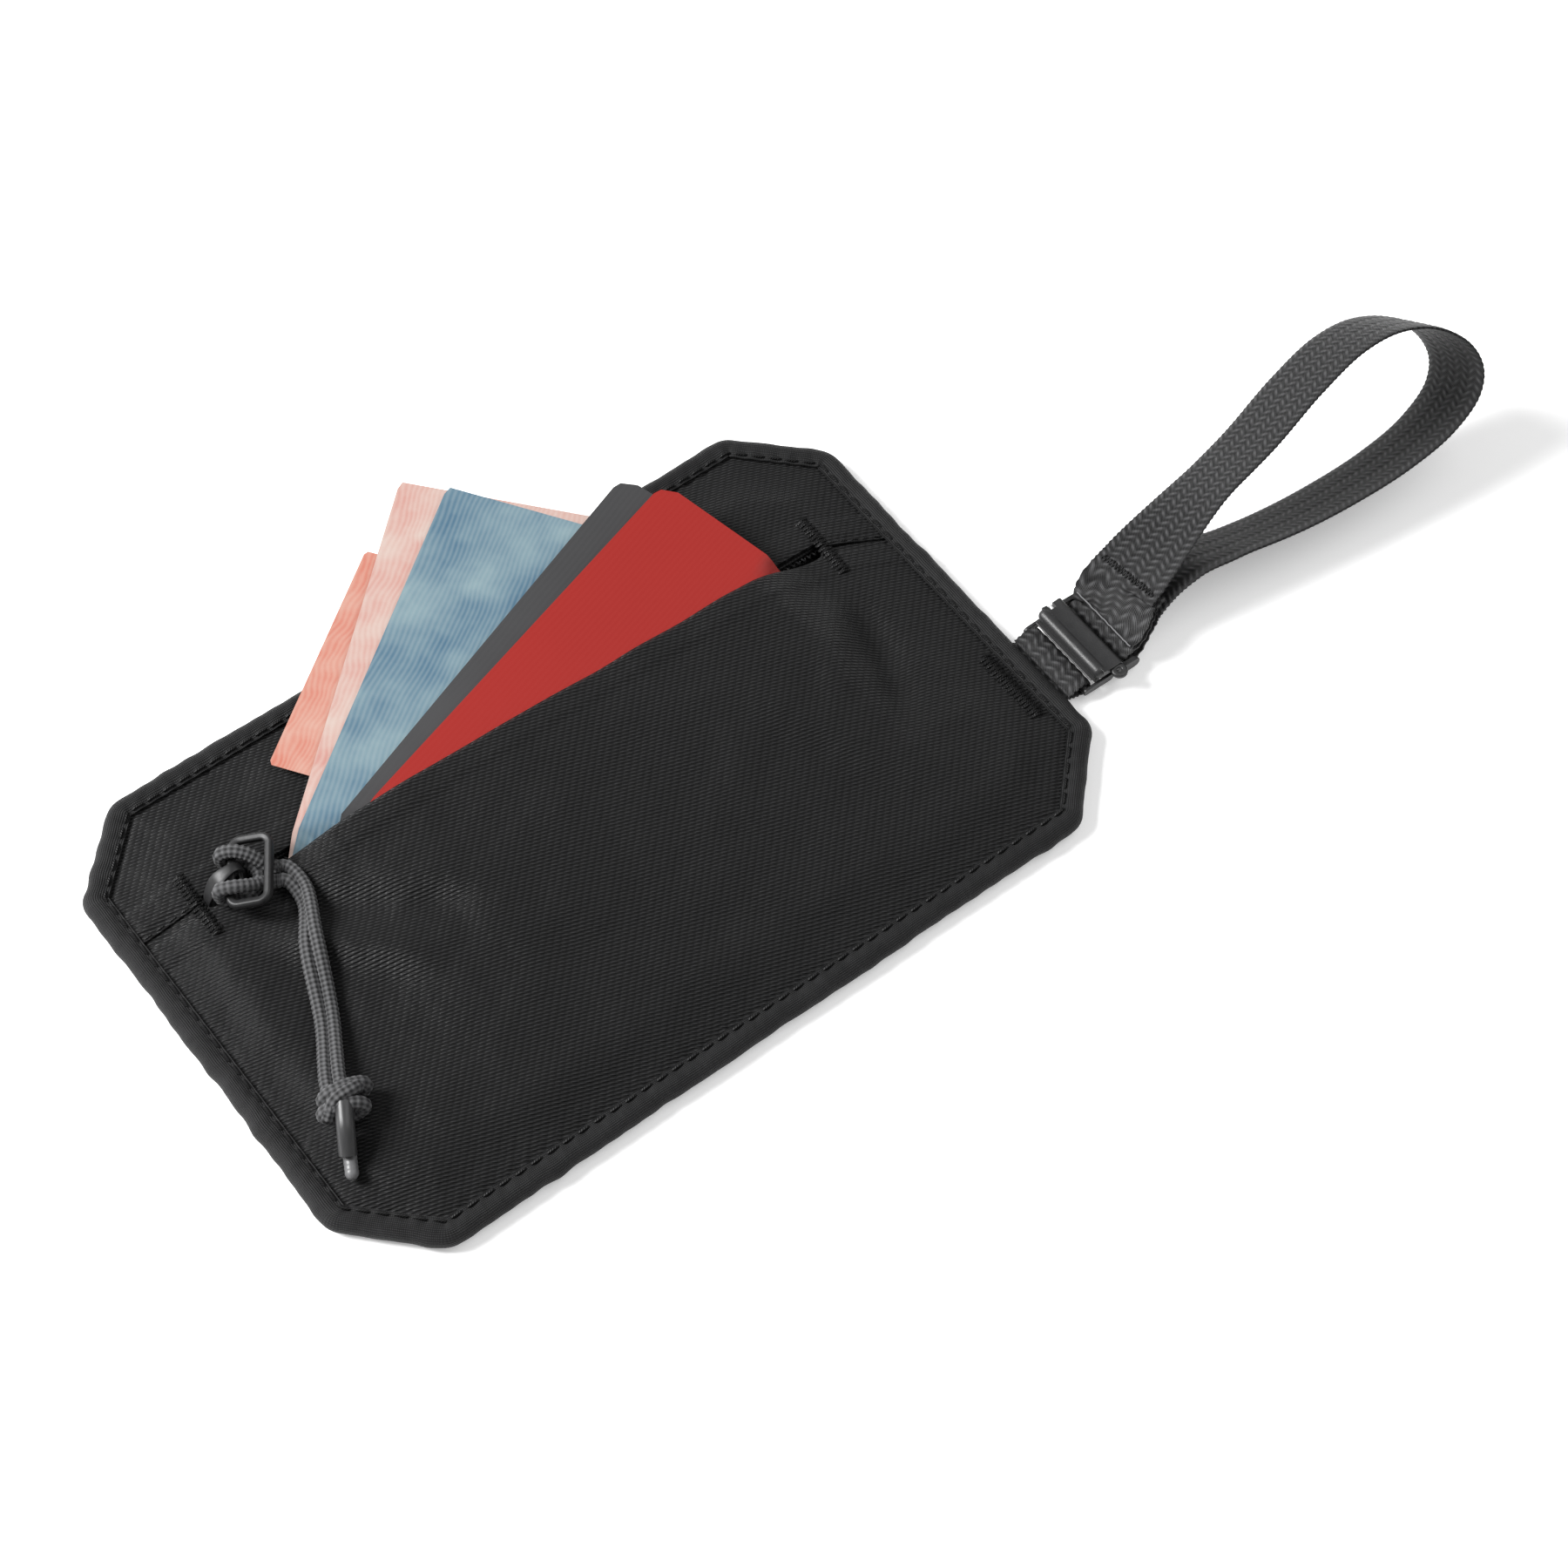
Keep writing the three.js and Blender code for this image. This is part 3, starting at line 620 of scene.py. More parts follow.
STITCH = 3.1
HEM = 5.0
# Folds of the lower front: start, end, height (below zero for a valley) and width.
FOLDS = (
    ((-62, 17), (-36, -12), 1.3, 3.0),
    ((-56, 18), (-24, -8), -1.7, 3.5),
    ((-70, -10), (-48, -40), 0.5, 2.6),
    ((62, 14), (40, -14), 1.0, 3.2),
    ((64, 12), (52, -24), -1.1, 2.8),
    ((30, 8), (48, -30), 0.8, 4.0),
)


def pucker(x, y):
    """Small gathers that run inwards from the edge stitching, fading over a few millimetres."""
    from_seam = inside_by(x, y) - BAND
    angle = np.arctan2(y * HALF_LENGTH / HALF_WIDTH, x)
    lap = angle / (2 * math.pi) * 4 * (HALF_LENGTH + HALF_WIDTH)
    gather = np.sin(2 * math.pi * lap / STITCH + 2.5 * rough(x, y, 9.0, 3.0))
    fine = np.sin(2 * math.pi * lap / (0.5 * STITCH) + 2 * rough(x, y, 5.0, 6.0))
    gathers = 0.2 * gather * (0.6 + 0.6 * rough(x, y, 14.0, 8.0)) + 0.07 * fine - 0.12
    pressed_in = 0.3 * np.exp(-(from_seam / 0.9) ** 2)
    return np.exp(-np.abs(from_seam) / 2.6) * gathers - pressed_in


def slack(x, y):
    """Soft, broad unevenness of cloth that isn't stretched, still at the binding."""
    free = ease((inside_by(x, y) - BAND) / 9)
    return free * (0.55 * rough(x, y, 24.0, 1.0) + 0.24 * rough(x, y, 9.0, 5.0))


def fold(x, y, start, end, height, width):
    """A soft fold along a line, fading at both ends."""
    a, b = np.array(start), np.array(end)
    d = b - a
    t = ((x - a[0]) * d[0] + (y - a[1]) * d[1]) / (d @ d)
    off = ((x - a[0]) * d[1] - (y - a[1]) * d[0]) / np.linalg.norm(d)
    return height * np.exp(-(off / width) ** 2) * ease(t * 3) * ease((1 - t) * 3)


def hem_ridge(edge):
    """The step where a turned-under edge ends, from 0 to 1, by distance from the edge."""
    return ease((edge - HEM - 0.2) / -0.5)


def rolled(edge):
    """How far a panel's very edge rolls under, from 0 to 1."""
    return 1 - ease(edge / 0.9)


def lower_top(x, y):
    """The lower front as it lies, with its gathers and folds."""
    z = pocket_top(x, y) + slack(x, y) + pucker(x, y)
    for start, end, height, width in FOLDS:
        z += fold(x, y, start, end, height, width)
    edge = mouth_edge(x) - y
    return z - 0.35 * rolled(edge) + 0.26 * hem_ridge(edge) * ease(edge + 0.2)


def upper_top(x, y):
    """The upper front, pressed flat under the contents."""
    edge = y - zip_y(x) - SLIT_HALF
    z = front_top(x, y) + 0.6 * slack(x, y) * ease(edge / 9) + pucker(x, y)
    return z - 0.2 * rolled(edge) + 0.3 * hem_ridge(edge)


def back_top(x, y):
    """The back: flat on the table, rising into the binding's fold at its rim."""
    on_table = ease((inside_by(x, y) - BAND - 0.5) / 4)
    return BACK_HIGH[2] * (1 - on_table) + CLOTH * on_table + 0.25 * np.abs(pucker(x, y)) * (1 - on_table)


def columns(step):
    """x positions across the pouch."""
    end = HALF_LENGTH - EDGE_INSET
    return np.linspace(-end, end, int(2 * end / step) + 1)


def hemmed(edge_distance):
    """Cloth thickness: more where the edge is turned under."""
    return CLOTH + 0.3 * (1 - ease((edge_distance - HEM) / 0.8))


def dense_towards_one(count):
    """Shares from 0 to 1 that crowd together just before 1."""
    t = np.linspace(0, 1, count)
    return np.unique(np.concatenate([t[:-1], 1 - 0.02 * np.linspace(1, 0, 7) ** 1.5]))


def opening_half(x):
    """Half the gap between the front panels: the zip's slit, or a closed seam beyond it."""
    return np.where(np.abs(x) < MOUTH_HALF, SLIT_HALF, SEAM_HALF)


def add_panels():
    xs = columns(0.75)

    def bottom(x):
        return -half_width_at(x, EDGE_INSET)

    def top(x):
        return half_width_at(x, EDGE_INSET)

    def low_edge(x):
        return mouth_edge(x, opening_half(x))

    def high_edge(x):
        return zip_y(x) + opening_half(x)

    back = sheet(columns(2.0), bottom, top, np.linspace(0, 1, 52), back_top, lambda x, y: CLOTH + 0 * x)
    piece("back_cloth", [back], CLOTH_FINISH, stands_for=("back_panel",))
    shares = dense_towards_one(96)
    lower = sheet(xs, bottom, low_edge, shares, lower_top, lambda x, y: hemmed(low_edge(x) - y))
    front = piece("front_cloth_lower", [lower], CLOTH_FINISH, stands_for=("front_panel_lower",))
    shares = 1 - dense_towards_one(46)[::-1]
    upper = sheet(xs, high_edge, top, shares, upper_top, lambda x, y: hemmed(y - high_edge(x)))
    piece("front_cloth_upper", [upper], CLOTH_FINISH, stands_for=("front_panel_upper",))
    shut(front)


def shut(obj):
    """Gives a piece of the open pocket a mesh of its own."""
    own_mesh(obj)


# --- Binding and stitches ---

def round_octagon(inset, radius, step):
    """The octagon moved inwards, its corners rounded: points, outward normals, distance."""
    x, y = HALF_LENGTH - inset, HALF_WIDTH - inset
    c = CORNER_CUT - inset * (2 - math.sqrt(2))
    quarter = [(x, -y + c), (x, y - c), (x - c, y), (-x + c, y)]
    corners = np.array(quarter + [(-a, -b) for a, b in quarter])
    reach = radius * math.tan(math.radians(22.5))
    points, normals = [], []
    for before, corner, after in zip(np.roll(corners, 1, 0), corners, np.roll(corners, -1, 0)):
        into, out = unit(corner - before), unit(after - corner)
        inward = np.array((-into[1], into[0]))
        centre = corner - into * reach + inward * radius
        for turn in np.linspace(0, math.pi / 4, 6):
            normal = -inward * math.cos(turn) + into * math.sin(turn)
            points.append(centre + normal * radius)
            normals.append(normal)
        first, last = corner + out * reach, after - out * reach
        count = int(np.linalg.norm(last - first) / step)
        for t in np.arange(1, count) / count:
            points.append(first + (last - first) * t)
            normals.append(np.array((out[1], -out[0])))
    return np.array(points), np.array(normals), lengths(points)


def binding_profile(mid):
    """The folded tape's section as (inset, height): front, rim, back, then its inner face."""
    rim = 1.9
    front = [(BAND, EDGE_TOP + 0.42), (3.9, EDGE_TOP + 0.5), (3.3, BINDING_TOP - 0.1), (2.6, BINDING_TOP)]
    bend = [(rim - rim * math.sin(a), mid + mid * math.cos(a)) for a in np.linspace(0, math.pi, 15)]
    back = [(2.9, 0.0), (BAND, 0.05)]
    inner = [(BAND, 0.5), (2.0, 0.55), (0.9, mid), (2.0, BINDING_TOP - 0.6), (BAND, EDGE_TOP + 0.05)]
    return front + bend + back + inner


def add_binding():
    centre = BAND / 2
    mid = BINDING_TOP / 2
    path, normal, distance = round_octagon(centre, 2.4, 0.7)
    profile = binding_profile(mid)
    rings = []
    for p, n, s in zip(path, normal, distance):
        wobble = 0.3 * noise.noise(Vector((*p / 13, 2.0))) + 0.34 * noise.noise(Vector((*p / 3.5, 4.0)))
        gather = 0.65 + 0.35 * math.sin(2 * math.pi * s / STITCH)
        ring = []
        for inset, z in profile:
            pulled = 0.5 * gather * math.exp(-((inset - 3.6) / 0.9) ** 2)
            lift = -pulled if z > mid else 0.3 * pulled
            outward = centre - inset + wobble * (1 - inset / BAND)
            ring.append((*(p + n * outward), max(0.0, z + lift)))
        rings.append(ring)
    lap = distance[-1] + np.linalg.norm(path[0] - path[-1])
    uv = grid(np.append(distance, lap), lengths(profile + profile[:1]))
    piece("edge_binding_tape", [shell(rings, uv, closed=True)], BINDING_FINISH,
          stands_for=("edge_binding",))


def add_edge_stitches():
    """The row of stitches through the binding, on the front and the back."""
    path, normal, distance = round_octagon(BAND - 0.65, 0.6, 0.25)
    count = round(distance[-1] / STITCH)
    pitch = distance[-1] / count
    arch = np.sin(np.linspace(0, math.pi, 8)) ** 0.6
    dice = random.Random(5)
    shells = []
    for k in range(count):
        start = (k + 0.13 + 0.05 * dice.random()) * pitch
        end = start + (0.76 + 0.06 * dice.random()) * pitch
        drift = 0.1 * (dice.random() - 0.5)
        at = np.linspace(start, end, len(arch))
        x, y = (np.interp(at, distance, row) for row in (path + normal * drift).T)
        for height, lift in ((EDGE_TOP + 0.42, 1), (0.16, -0.4)):
            z = height + lift * (0.2 * arch - 0.12)
            shells.append(tube(np.stack([x, y, z], 1), 0.27, 6, round_ends=True))
    piece("edge_stitches", shells, THREAD_FINISH, stands_for=("binding_stitch",))


def stitch_row(points, length, height):
    """Short stitches along a line of (x, y) points, lying at height(x, y)."""
    path = course([(*p, 0) for p in points], 0.2)
    distance = lengths(path)
    count = max(1, round(distance[-1] / length))
    shells = []
    for k in range(count):
        ts = np.linspace(k + 0.12, k + 0.86, 7) * distance[-1] / count
        x, y = np.interp(ts, distance, path[:, 0]), np.interp(ts, distance, path[:, 1])
        z = height(x, y) + 0.14 * np.sin(np.linspace(0, math.pi, 7)) - 0.03
        shells.append(tube(np.stack([x, y, z], 1), 0.15, 6, round_ends=True))
    return shells


def add_closed_seams():
    """The stitched ends of the zip's seam, from each tack to the binding."""
    for name, side in (("seam_stitches_left", -1), ("seam_stitches_right", 1)):
        xs = np.linspace(side * (MOUTH_HALF + 1.0), side * (HALF_LENGTH - BAND), 6)
        line = [(x, float(zip_y(x)) + 0.55) for x in xs]
        piece(name, stitch_row(line, 2.3, upper_top), THREAD_FINISH)


def zigzag(centre, direction, length, width, height, seed):
    """A dense bar tack: two passes of zigzag thread along a direction, and a few loose ends."""
    pitch = 0.42
    dice = random.Random(seed)
    middle = np.array(centre[:2])
    d = unit(direction)
    n = np.array((-d[1], d[0]))

    def above(point, lift):
        return (*point, float(height(*point)) + lift)

    count = int(length / pitch)
    shells = []
    for layer in range(2):
        points = []
        for k in range(count + 1):
            t = (k / count - 0.5) * length + 0.12 * (dice.random() - 0.5)
            half = (width / 2 + 0.16 * (dice.random() - 0.5)) * (1 - 0.12 * layer)
            points.append(above(middle + d * t + n * (half if k % 2 else -half), 0.02))
            points.append(above(middle + d * (t + pitch / 2), 0.26 + 0.16 * layer + 0.06 * dice.random()))
        shells.append(tube(course(points, 0.25), 0.19, 6, round_ends=True))
    for side in (-1, 1, -1):
        root = middle + d * length / 2 * side * (0.8 + 0.2 * dice.random())
        way = d * (0.8 * dice.random() - 0.4) + n * (1.4 * dice.random() - 0.7)
        hair = [above(root + way * t, 0.25 + 0.5 * t * (1 - t)) for t in (0, 0.5, 1.0, 1.4)]
        shells.append(tube(course(hair, 0.25), 0.06, 5, round_ends=True))
    return shells


def on_front(x, y):
    """The height of the fronts at one point, never sunk into the seam."""
    return np.maximum(lower_top(x, y) if y < zip_y(x) else upper_top(x, y), SHUT_TOP - 0.2)


def add_tacks():
    low, high = node_box("tab_bar_tack")
    for name, node, centre, way, length, width, height, seed in (
        ("tack_left", "bar_tack_left", TACK_LEFT, (-ZIP_SLOPE, 1), 13.6, 2.3, on_front, 1),
        ("tack_right", "bar_tack_right", TACK_RIGHT, (-ZIP_SLOPE, 1), 13.6, 2.3, on_front, 2),
        ("tack_tab", "tab_bar_tack", (low + high) / 2, (0, 1), high[1] - low[1], 2.9, lower_top, 3),
    ):
        tack = zigzag(centre, way, length, width, height, seed)
        piece(name, tack, THREAD_FINISH, stands_for=(node,))


add_panels()
add_binding()
add_edge_stitches()
add_closed_seams()
add_tacks()


# --- Zip ---

ZIP_END = 66.0
TAPE_THICK = 0.3
TAPE_WIDTH = 7.0
TAPE_REACH = 1.35  # from the zip's line to a tape's edge
TAPE_DROP = 1.75  # from the front's surface down to a tape
COIL_DROP = 1.9
COIL_IN = 0.65  # from the zip's line to a coil's centre


def coil_split(x):
    """How far the lower coil swings aside to pass the slider's post."""
    return 1.35 * ease((x + 61) / 3) * ease((ZIP_END - x) / 8)


def lower_edge(x):
    return mouth_edge(x, TAPE_REACH) - coil_split(x)


def upper_edge(x):
    return zip_y(x) + TAPE_REACH


def coil(edge, top, offset):
    """One side's monofilament spiral."""
    x = np.arange(-ZIP_END, ZIP_END, 0.11)
    y = edge(x) + offset
    z = top(x, y) - COIL_DROP
    turn = 2 * math.pi * x / 1.15
    return tube(np.stack([x, y + 0.36 * np.cos(turn), z + 0.28 * np.sin(turn)], 1), 0.2, 6)


def zip_side(side, edge, top, outward):
    """One tape and its coil; outward is the tape's way from the coil in y, 1 or -1."""
    def thickness(x, y):
        return TAPE_THICK + 0 * x

    def far_edge(x):
        return edge(x) + outward * TAPE_WIDTH

    xs = np.linspace(-ZIP_END, ZIP_END, 200)
    y_low, y_high = (edge, far_edge)[::outward]
    tape = sheet(xs, y_low, y_high, np.linspace(0, 1, 12), lambda x, y: top(x, y) - TAPE_DROP, thickness)
    spiral = coil(edge, top, outward * (COIL_IN - TAPE_REACH))
    return [
        piece("zip_" + part + side, [mesh], finish, stands_for=("zipper_" + part + side,))
        for part, mesh, finish, slot in (
            ("tape_", tape, ZIP_TAPE_FINISH, "cloth"),
            ("coil_", spiral, COIL_FINISH, "zip_coil"),
        )
    ]


def add_zip():
    zip_side("upper", upper_edge, front_top, 1)
    tape, spiral = zip_side("lower", lower_edge, pocket_top, -1)
    shut(tape)
    shut(spiral)
    for stop in ("bottom_stop", "top_stop_upper", "top_stop_lower"):
        low, high = node_box("zipper_" + stop)
        outline = [(low[0], low[1]), (high[0], low[1]), (high[0], high[1]), (low[0], high[1])]
        block = prism(outline, low[2], high[2], lambda a, b, c: (a, b, c))
        piece("zip_" + stop, [block], METAL_FINISH,
              stands_for=("zipper_" + stop,), bevel=0.3)


# --- Slider ---

SLIDER_X = -59.0
SLIDER_TOP = 3.9
PLATE = 0.5
BAIL_TOP = node_box("slider_body")[1][2]


def on_zip(points):
    """Turns points drawn about the slider's centre into the zip line's frame."""
    points = np.asarray(points, float)
    turn = math.atan(ZIP_SLOPE)
    x = points[..., 0] * math.cos(turn) - points[..., 1] * math.sin(turn)
    y = points[..., 0] * math.sin(turn) + points[..., 1] * math.cos(turn)
    return np.stack([x + SLIDER_X, y + float(zip_y(SLIDER_X)), points[..., 2]], -1)


def zip_prism(outline, low, high):
    return prism(outline, low, high, lambda a, b, c: on_zip((a, b, c)))


def strip(path, half_widths, half_thick, across):
    """A flat bar with rounded edges along a path, with a half width at each point."""
    tangent = along(path)[1]
    across = square_to(across, tangent)
    up = np.cross(tangent, across)
    section = []
    for angle in circle(20):
        c, s = math.cos(angle), math.sin(angle)
        round_off = (abs(c) ** 5 + abs(s) ** 5) ** -0.2
        section.append((c * round_off, s * round_off))
    return shell([
        [p + a * w * c + u * half_thick * s for c, s in section]
        for p, a, u, w in zip(path, across, up, half_widths)
    ])


def slider_plates():
    """Two plates that taper to the tail, with the post between them and a flange down each side."""
    half = [(-3.9, -2.2), (-2.6, -2.9), (1.0, -3.8), (3.5, -3.6), (4.0, -2.8), (3.7, -1.0), (2.9, -0.3)]
    outline = half + [(x, -y) for x, y in half[::-1]]
    parts = [zip_prism(outline, low, low + PLATE) for low in (1.4, SLIDER_TOP - PLATE)]
    parts.append(zip_prism([(2.7, -1.1), (3.6, -1.1), (3.6, -0.1), (2.7, -0.1)], 1.5, 3.8))
    for side in (-1, 1):
        flange = [(-3.4, 2.3), (-2.4, 2.75), (0.9, 3.65), (3.3, 3.45), (3.2, 3.1), (0.9, 3.3), (-2.4, 2.4)]
        parts.append(zip_prism([(x, side * y) for x, y in flange][::side], 3.0, 3.45))
    return parts


def add_slider():
    foot = SLIDER_TOP - 0.25
    bail = [(3.75, foot), (3.75, 6.0), (3.7, BAIL_TOP - 1.6), (2.7, BAIL_TOP - 0.4), (1.2, BAIL_TOP - 0.42),
            (-0.8, BAIL_TOP - 1.3), (-2.3, BAIL_TOP - 3.4), (-3.1, SLIDER_TOP + 1.0), (-3.2, foot)]
    path = on_zip(course([(x, 0, z) for x, z in bail], 0.3))
    share = np.linspace(0, 1, len(path))
    half_widths = 0.85 + 0.5 * np.sin(math.pi * np.clip((share - 0.4) / 0.6, 0, 1)) ** 1.5
    bar = strip(path, half_widths, 0.36, np.tile((-ZIP_SLOPE, 1.0, 0.0), (len(path), 1)))
    piece("slider", slider_plates(), METAL_FINISH, body="slider", stands_for=("slider_body",),
          bevel=0.16)
    piece("slider_bail", [bar], METAL_FINISH, body="slider")


# --- Ring, hitch and cord ---

RING_BEND = 1.6
RING_TILT = 0.25
RING_WIRE = 0.7
UNDER_BAR = -1.95
RING_ALONG = -RING_AXIS
RING_OUT = np.cross(RING_ALONG, (0, 0, 1))


def at_ring(along_bar, out, up):
    """A point in the ring's own frame: along its hinge bar, out from it, and up from the bar."""
    return RING_PLACE + RING_ALONG * along_bar + RING_OUT * out + np.array((0, 0, up))


def ring_path():
    half, reach = 6.2 - RING_BEND, 6.6 - RING_BEND
    corners = [(half, RING_BEND, -0.5), (half, reach, 0.0), (-half, reach, 0.5), (-half, RING_BEND, 1.0)]
    path = []
    for along_bar, out, start in corners:
        for turn in np.linspace(start * math.pi, (start + 0.5) * math.pi, 9):
            flat = out + RING_BEND * math.sin(turn)
            path.append(at_ring(along_bar + RING_BEND * math.cos(turn), flat * math.cos(RING_TILT),
                                flat * math.sin(RING_TILT)))
    return np.array(path)


def square_off(distance, angle):
    """Turns a round wire into one with rounded-square section."""
    full = (np.abs(np.cos(angle)) ** 4 + np.abs(np.sin(angle)) ** 4) ** -0.25
    return RING_WIRE * (full - 1) + 0 * distance


def plaits(depth):
    """Relief for a tube: the braid's bumps."""
    return lambda distance, angle: depth * (plait_height(distance, angle) - 0.5)


def braid(points):
    """Braided cord through the points."""
    return tube(course(points, 0.16), CORD_RADIUS - 0.06, 32, relief=plaits(0.22))


def strand(along_bar, out_at):
    """One strand of the hitch: under the ring's free side, over its bar and back beneath."""
    around = RING_WIRE + CORD_RADIUS + 0.15
    return [at_ring(out_at, 8.2, -0.7), at_ring(out_at * 1.1, 6.4, -0.5), at_ring(along_bar * 0.7, 4.4, 0.7),
            at_ring(along_bar * 0.9, 2.4, 1.7), at_ring(along_bar, 0.3, around),
            at_ring(along_bar, -around * 0.8, around * 0.6), at_ring(along_bar, -around * 0.8, -around * 0.6),
            at_ring(along_bar, 0.2, -around), at_ring(along_bar * 0.9, 2.4, UNDER_BAR)]


KNOT = np.array((-65.6, -22.4, 7.45))
KNOT_AXIS = unit((-0.576, -0.814, 0.06))
KNOT_SIDE = unit(np.cross(KNOT_AXIS, (0, 0, 1.0)))
KNOT_UP = np.cross(KNOT_SIDE, KNOT_AXIS)


def at_knot(on_axis, aside, up):
    return KNOT + KNOT_AXIS * on_axis + KNOT_SIDE * aside + KNOT_UP * up


def lying(x, y, lift=0.0):
    """The cord's centre where it rests on the lower front, or lift above that."""
    return np.array((x, y, float(lower_top(x, y)) + CORD_RADIUS + 0.15 + lift))


def tail(side):
    """The course of one tail, from inside the hitch to inside the knot."""
    x, y, _ = at_ring(0, 9.1, -0.7)
    return [at_ring(side * 1.35, 7.6, -0.66), at_ring(side * 1.35, 9.1, -0.7),
            lying(x + 0.4 + side * 0.9, y - 4.4 + side * 1.2),
            lying(x - 3.8 + side * 1.35, y - 13 + side * 0.6),
            lying(x - 9 + side * 1.3, y - 25 + side * 0.5),
            KNOT + (side * 1.1, 2.5, 0), KNOT + (side * 0.6, -0.6, 0)]


def knot_wraps():
    """The overhand knot's turns round both tails, and the strand that crosses them."""
    shells = []
    for offset, lean, reach in ((-1.9, 1.35, 3.3), (1.3, 0.75, 3.2)):
        loop = []
        for turn in circle(12):
            c, s = math.cos(turn), math.sin(turn)
            loop.append(at_knot(offset + lean * c, reach * c, 0.6 * reach * s + 0.3))
        turns = course(loop, 0.16, closed=True)
        shells.append(tube(turns, CORD_RADIUS, 28, closed=True, relief=plaits(0.22)))
    crossing = [(-3.2, -2.6, 0.6), (-1.2, -1.4, 2.9), (0.8, 1.2, 2.9), (3.0, 2.6, 0.4)]
    return shells + [braid([at_knot(*p) for p in crossing])]


def add_pull():
    wire = tube(ring_path(), RING_WIRE, 20, closed=True, relief=square_off)
    piece("pull_ring_wire", [wire], METAL_FINISH, body="pull", stands_for=("pull_ring",))
    over = [at_ring(0.6, 4.3, UNDER_BAR), at_ring(-1.6, 3.9, UNDER_BAR)]
    hitch = strand(3.1, 1.35) + over + strand(-3.8, -1.35)[::-1]
    piece("cord_hitch_braid", [braid(hitch)], CORD_FINISH, body="pull",
          stands_for=("cord_hitch",))
    left, right = tail(1), tail(-1)
    tails = piece("cord_tails", [braid(left), braid(right)], CORD_FINISH, body=None,
                  stands_for=("pull_cord",))
    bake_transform(tails)
    piece("cord_knot", knot_wraps(), CORD_FINISH, body="cord")
    add_tips()


def add_tips():
    """Past the knot: one tail in a smooth sleeve whose hollow end is a near-black plug, a painted shade,
    above the other's fused grey end.
    """
    x, y = KNOT[:2]
    sleeve = course([KNOT + (-0.4, -0.8, 2.3), KNOT + (-2.4, -4.2, 1.5), lying(x - 4.3, y - 7.3, 1.2)], 0.2)
    end = sleeve[-1]
    way = unit(end - sleeve[-3])
    # A near-black plug at the sleeve's end: painted shade where the hollow would be.
    hollow_shade_plug = np.array([end - way * 0.4, end - way * 0.1, end + way * 0.12])
    fused = [KNOT + (-2.0, -3.6, -1.2), lying(x - 4.4, y - 8.0, 0.3), lying(x - 5.9, y - 10.9, 0.6)]
    tip = tube(course(fused, 0.2), CORD_RADIUS - 0.1, 20, relief=plaits(0.1), round_ends=True)
    for name, part, finish in (
        ("cord_sleeve", tube(sleeve, CORD_RADIUS + 0.3, 24), SLEEVE_FINISH),
        ("cord_sleeve_hollow_painted_shade", tube(hollow_shade_plug, CORD_RADIUS - 0.1, 18), HOLLOW_SHADE_FINISH),
        ("cord_end", tip, CORD_END_FINISH),
    ):
        piece(name, [part], finish, body="cord")


# --- Webbing ---

def webbing(path, across):
    """Woven webbing along a path: floats stand out on both faces and its edges are scalloped."""
    distance, tangent = along(path)[:2]
    across = square_to(across, tangent)
    up = np.cross(tangent, across)
    half_width = WEB_WIDTH / 2
    shares = np.linspace(-1, 1, int(WEB_WIDTH / 0.36) + 1)
    rings = []
    for p, a, u, d in zip(path, across, up, distance):
        scallop = 0.12 * math.cos(2 * math.pi * d)
        w = shares * (half_width - 0.1 + scallop * np.abs(shares) ** 8)
        relief = 0.2 * (float_height(d, shares * half_width) - 0.5)
        edge = 1 - 0.45 * np.abs(shares) ** 10
        reach = (WEB_THICK / 2 - 0.06) * edge + relief * (1 - shares ** 6)
        face = p + a * w[:, None] + u * reach[:, None]
        back = p + a * w[:, None] - u * reach[:, None]
        rings.append(np.vstack([face, back[::-1]]))
    v = np.append(np.append(shares * half_width, (shares * half_width)[::-1]), -half_width)
    return shell(rings, grid(distance, v), cap="strip")


# --- Tab and clasp ---

FLEX_Z = joint_place("tab_flex")[0][2]
WEB_BAR_X = 83.0
CATCH_X = 88.15
ROLL_X = 86.2
ROLL_Z = 4.4
HOOK_BACK_X = 90.65
HOOK_WALL = 0.95
BACK_BEND = 0.7
COVER_UNDER = ROLL_Z - 0.35
CLASP_WIDTH = np.ptp(node_box("clasp_catch"), axis=0)[1]
EAR_INNER = WEB_WIDTH / 2 + 0.3
STRAP_X, STRAP_Z = STRAP_PLACE[0], STRAP_PLACE[2]


def arc(x, z, radius, start, end, count=10):
    """Points of an arc, its angles in half turns."""
    angles = np.linspace(start, end, count) * math.pi
    return [(x + radius * math.cos(a), z + radius * math.sin(a)) for a in angles]


def across_y(outline, y_low, y_high):
    """An outline in x and z carried across the clasp."""
    return prism(outline, y_low, y_high, lambda a, b, c: (a, c, b))


def both_sides(outline, inner, width):
    """The same outline twice, either side of the tab's middle."""
    places = [TAB_Y + side * (inner + width / 2) for side in (-1, 1)]
    return [across_y(outline, y - width / 2, y + width / 2) for y in places]


def cross_bar(x, z, radius, width, sides=28):
    """A round bar across the clasp, with rounded ends."""
    end = 2 * radius / width
    near_end = np.linspace(-1, end - 1, 7)
    shares = np.concatenate([near_end, np.linspace(-0.7, 0.7, 8), -near_end[::-1]])
    return tube(np.array([(x, y, z) for y in shares * width / 2 + TAB_Y]), radius, sides, round_ends=True)


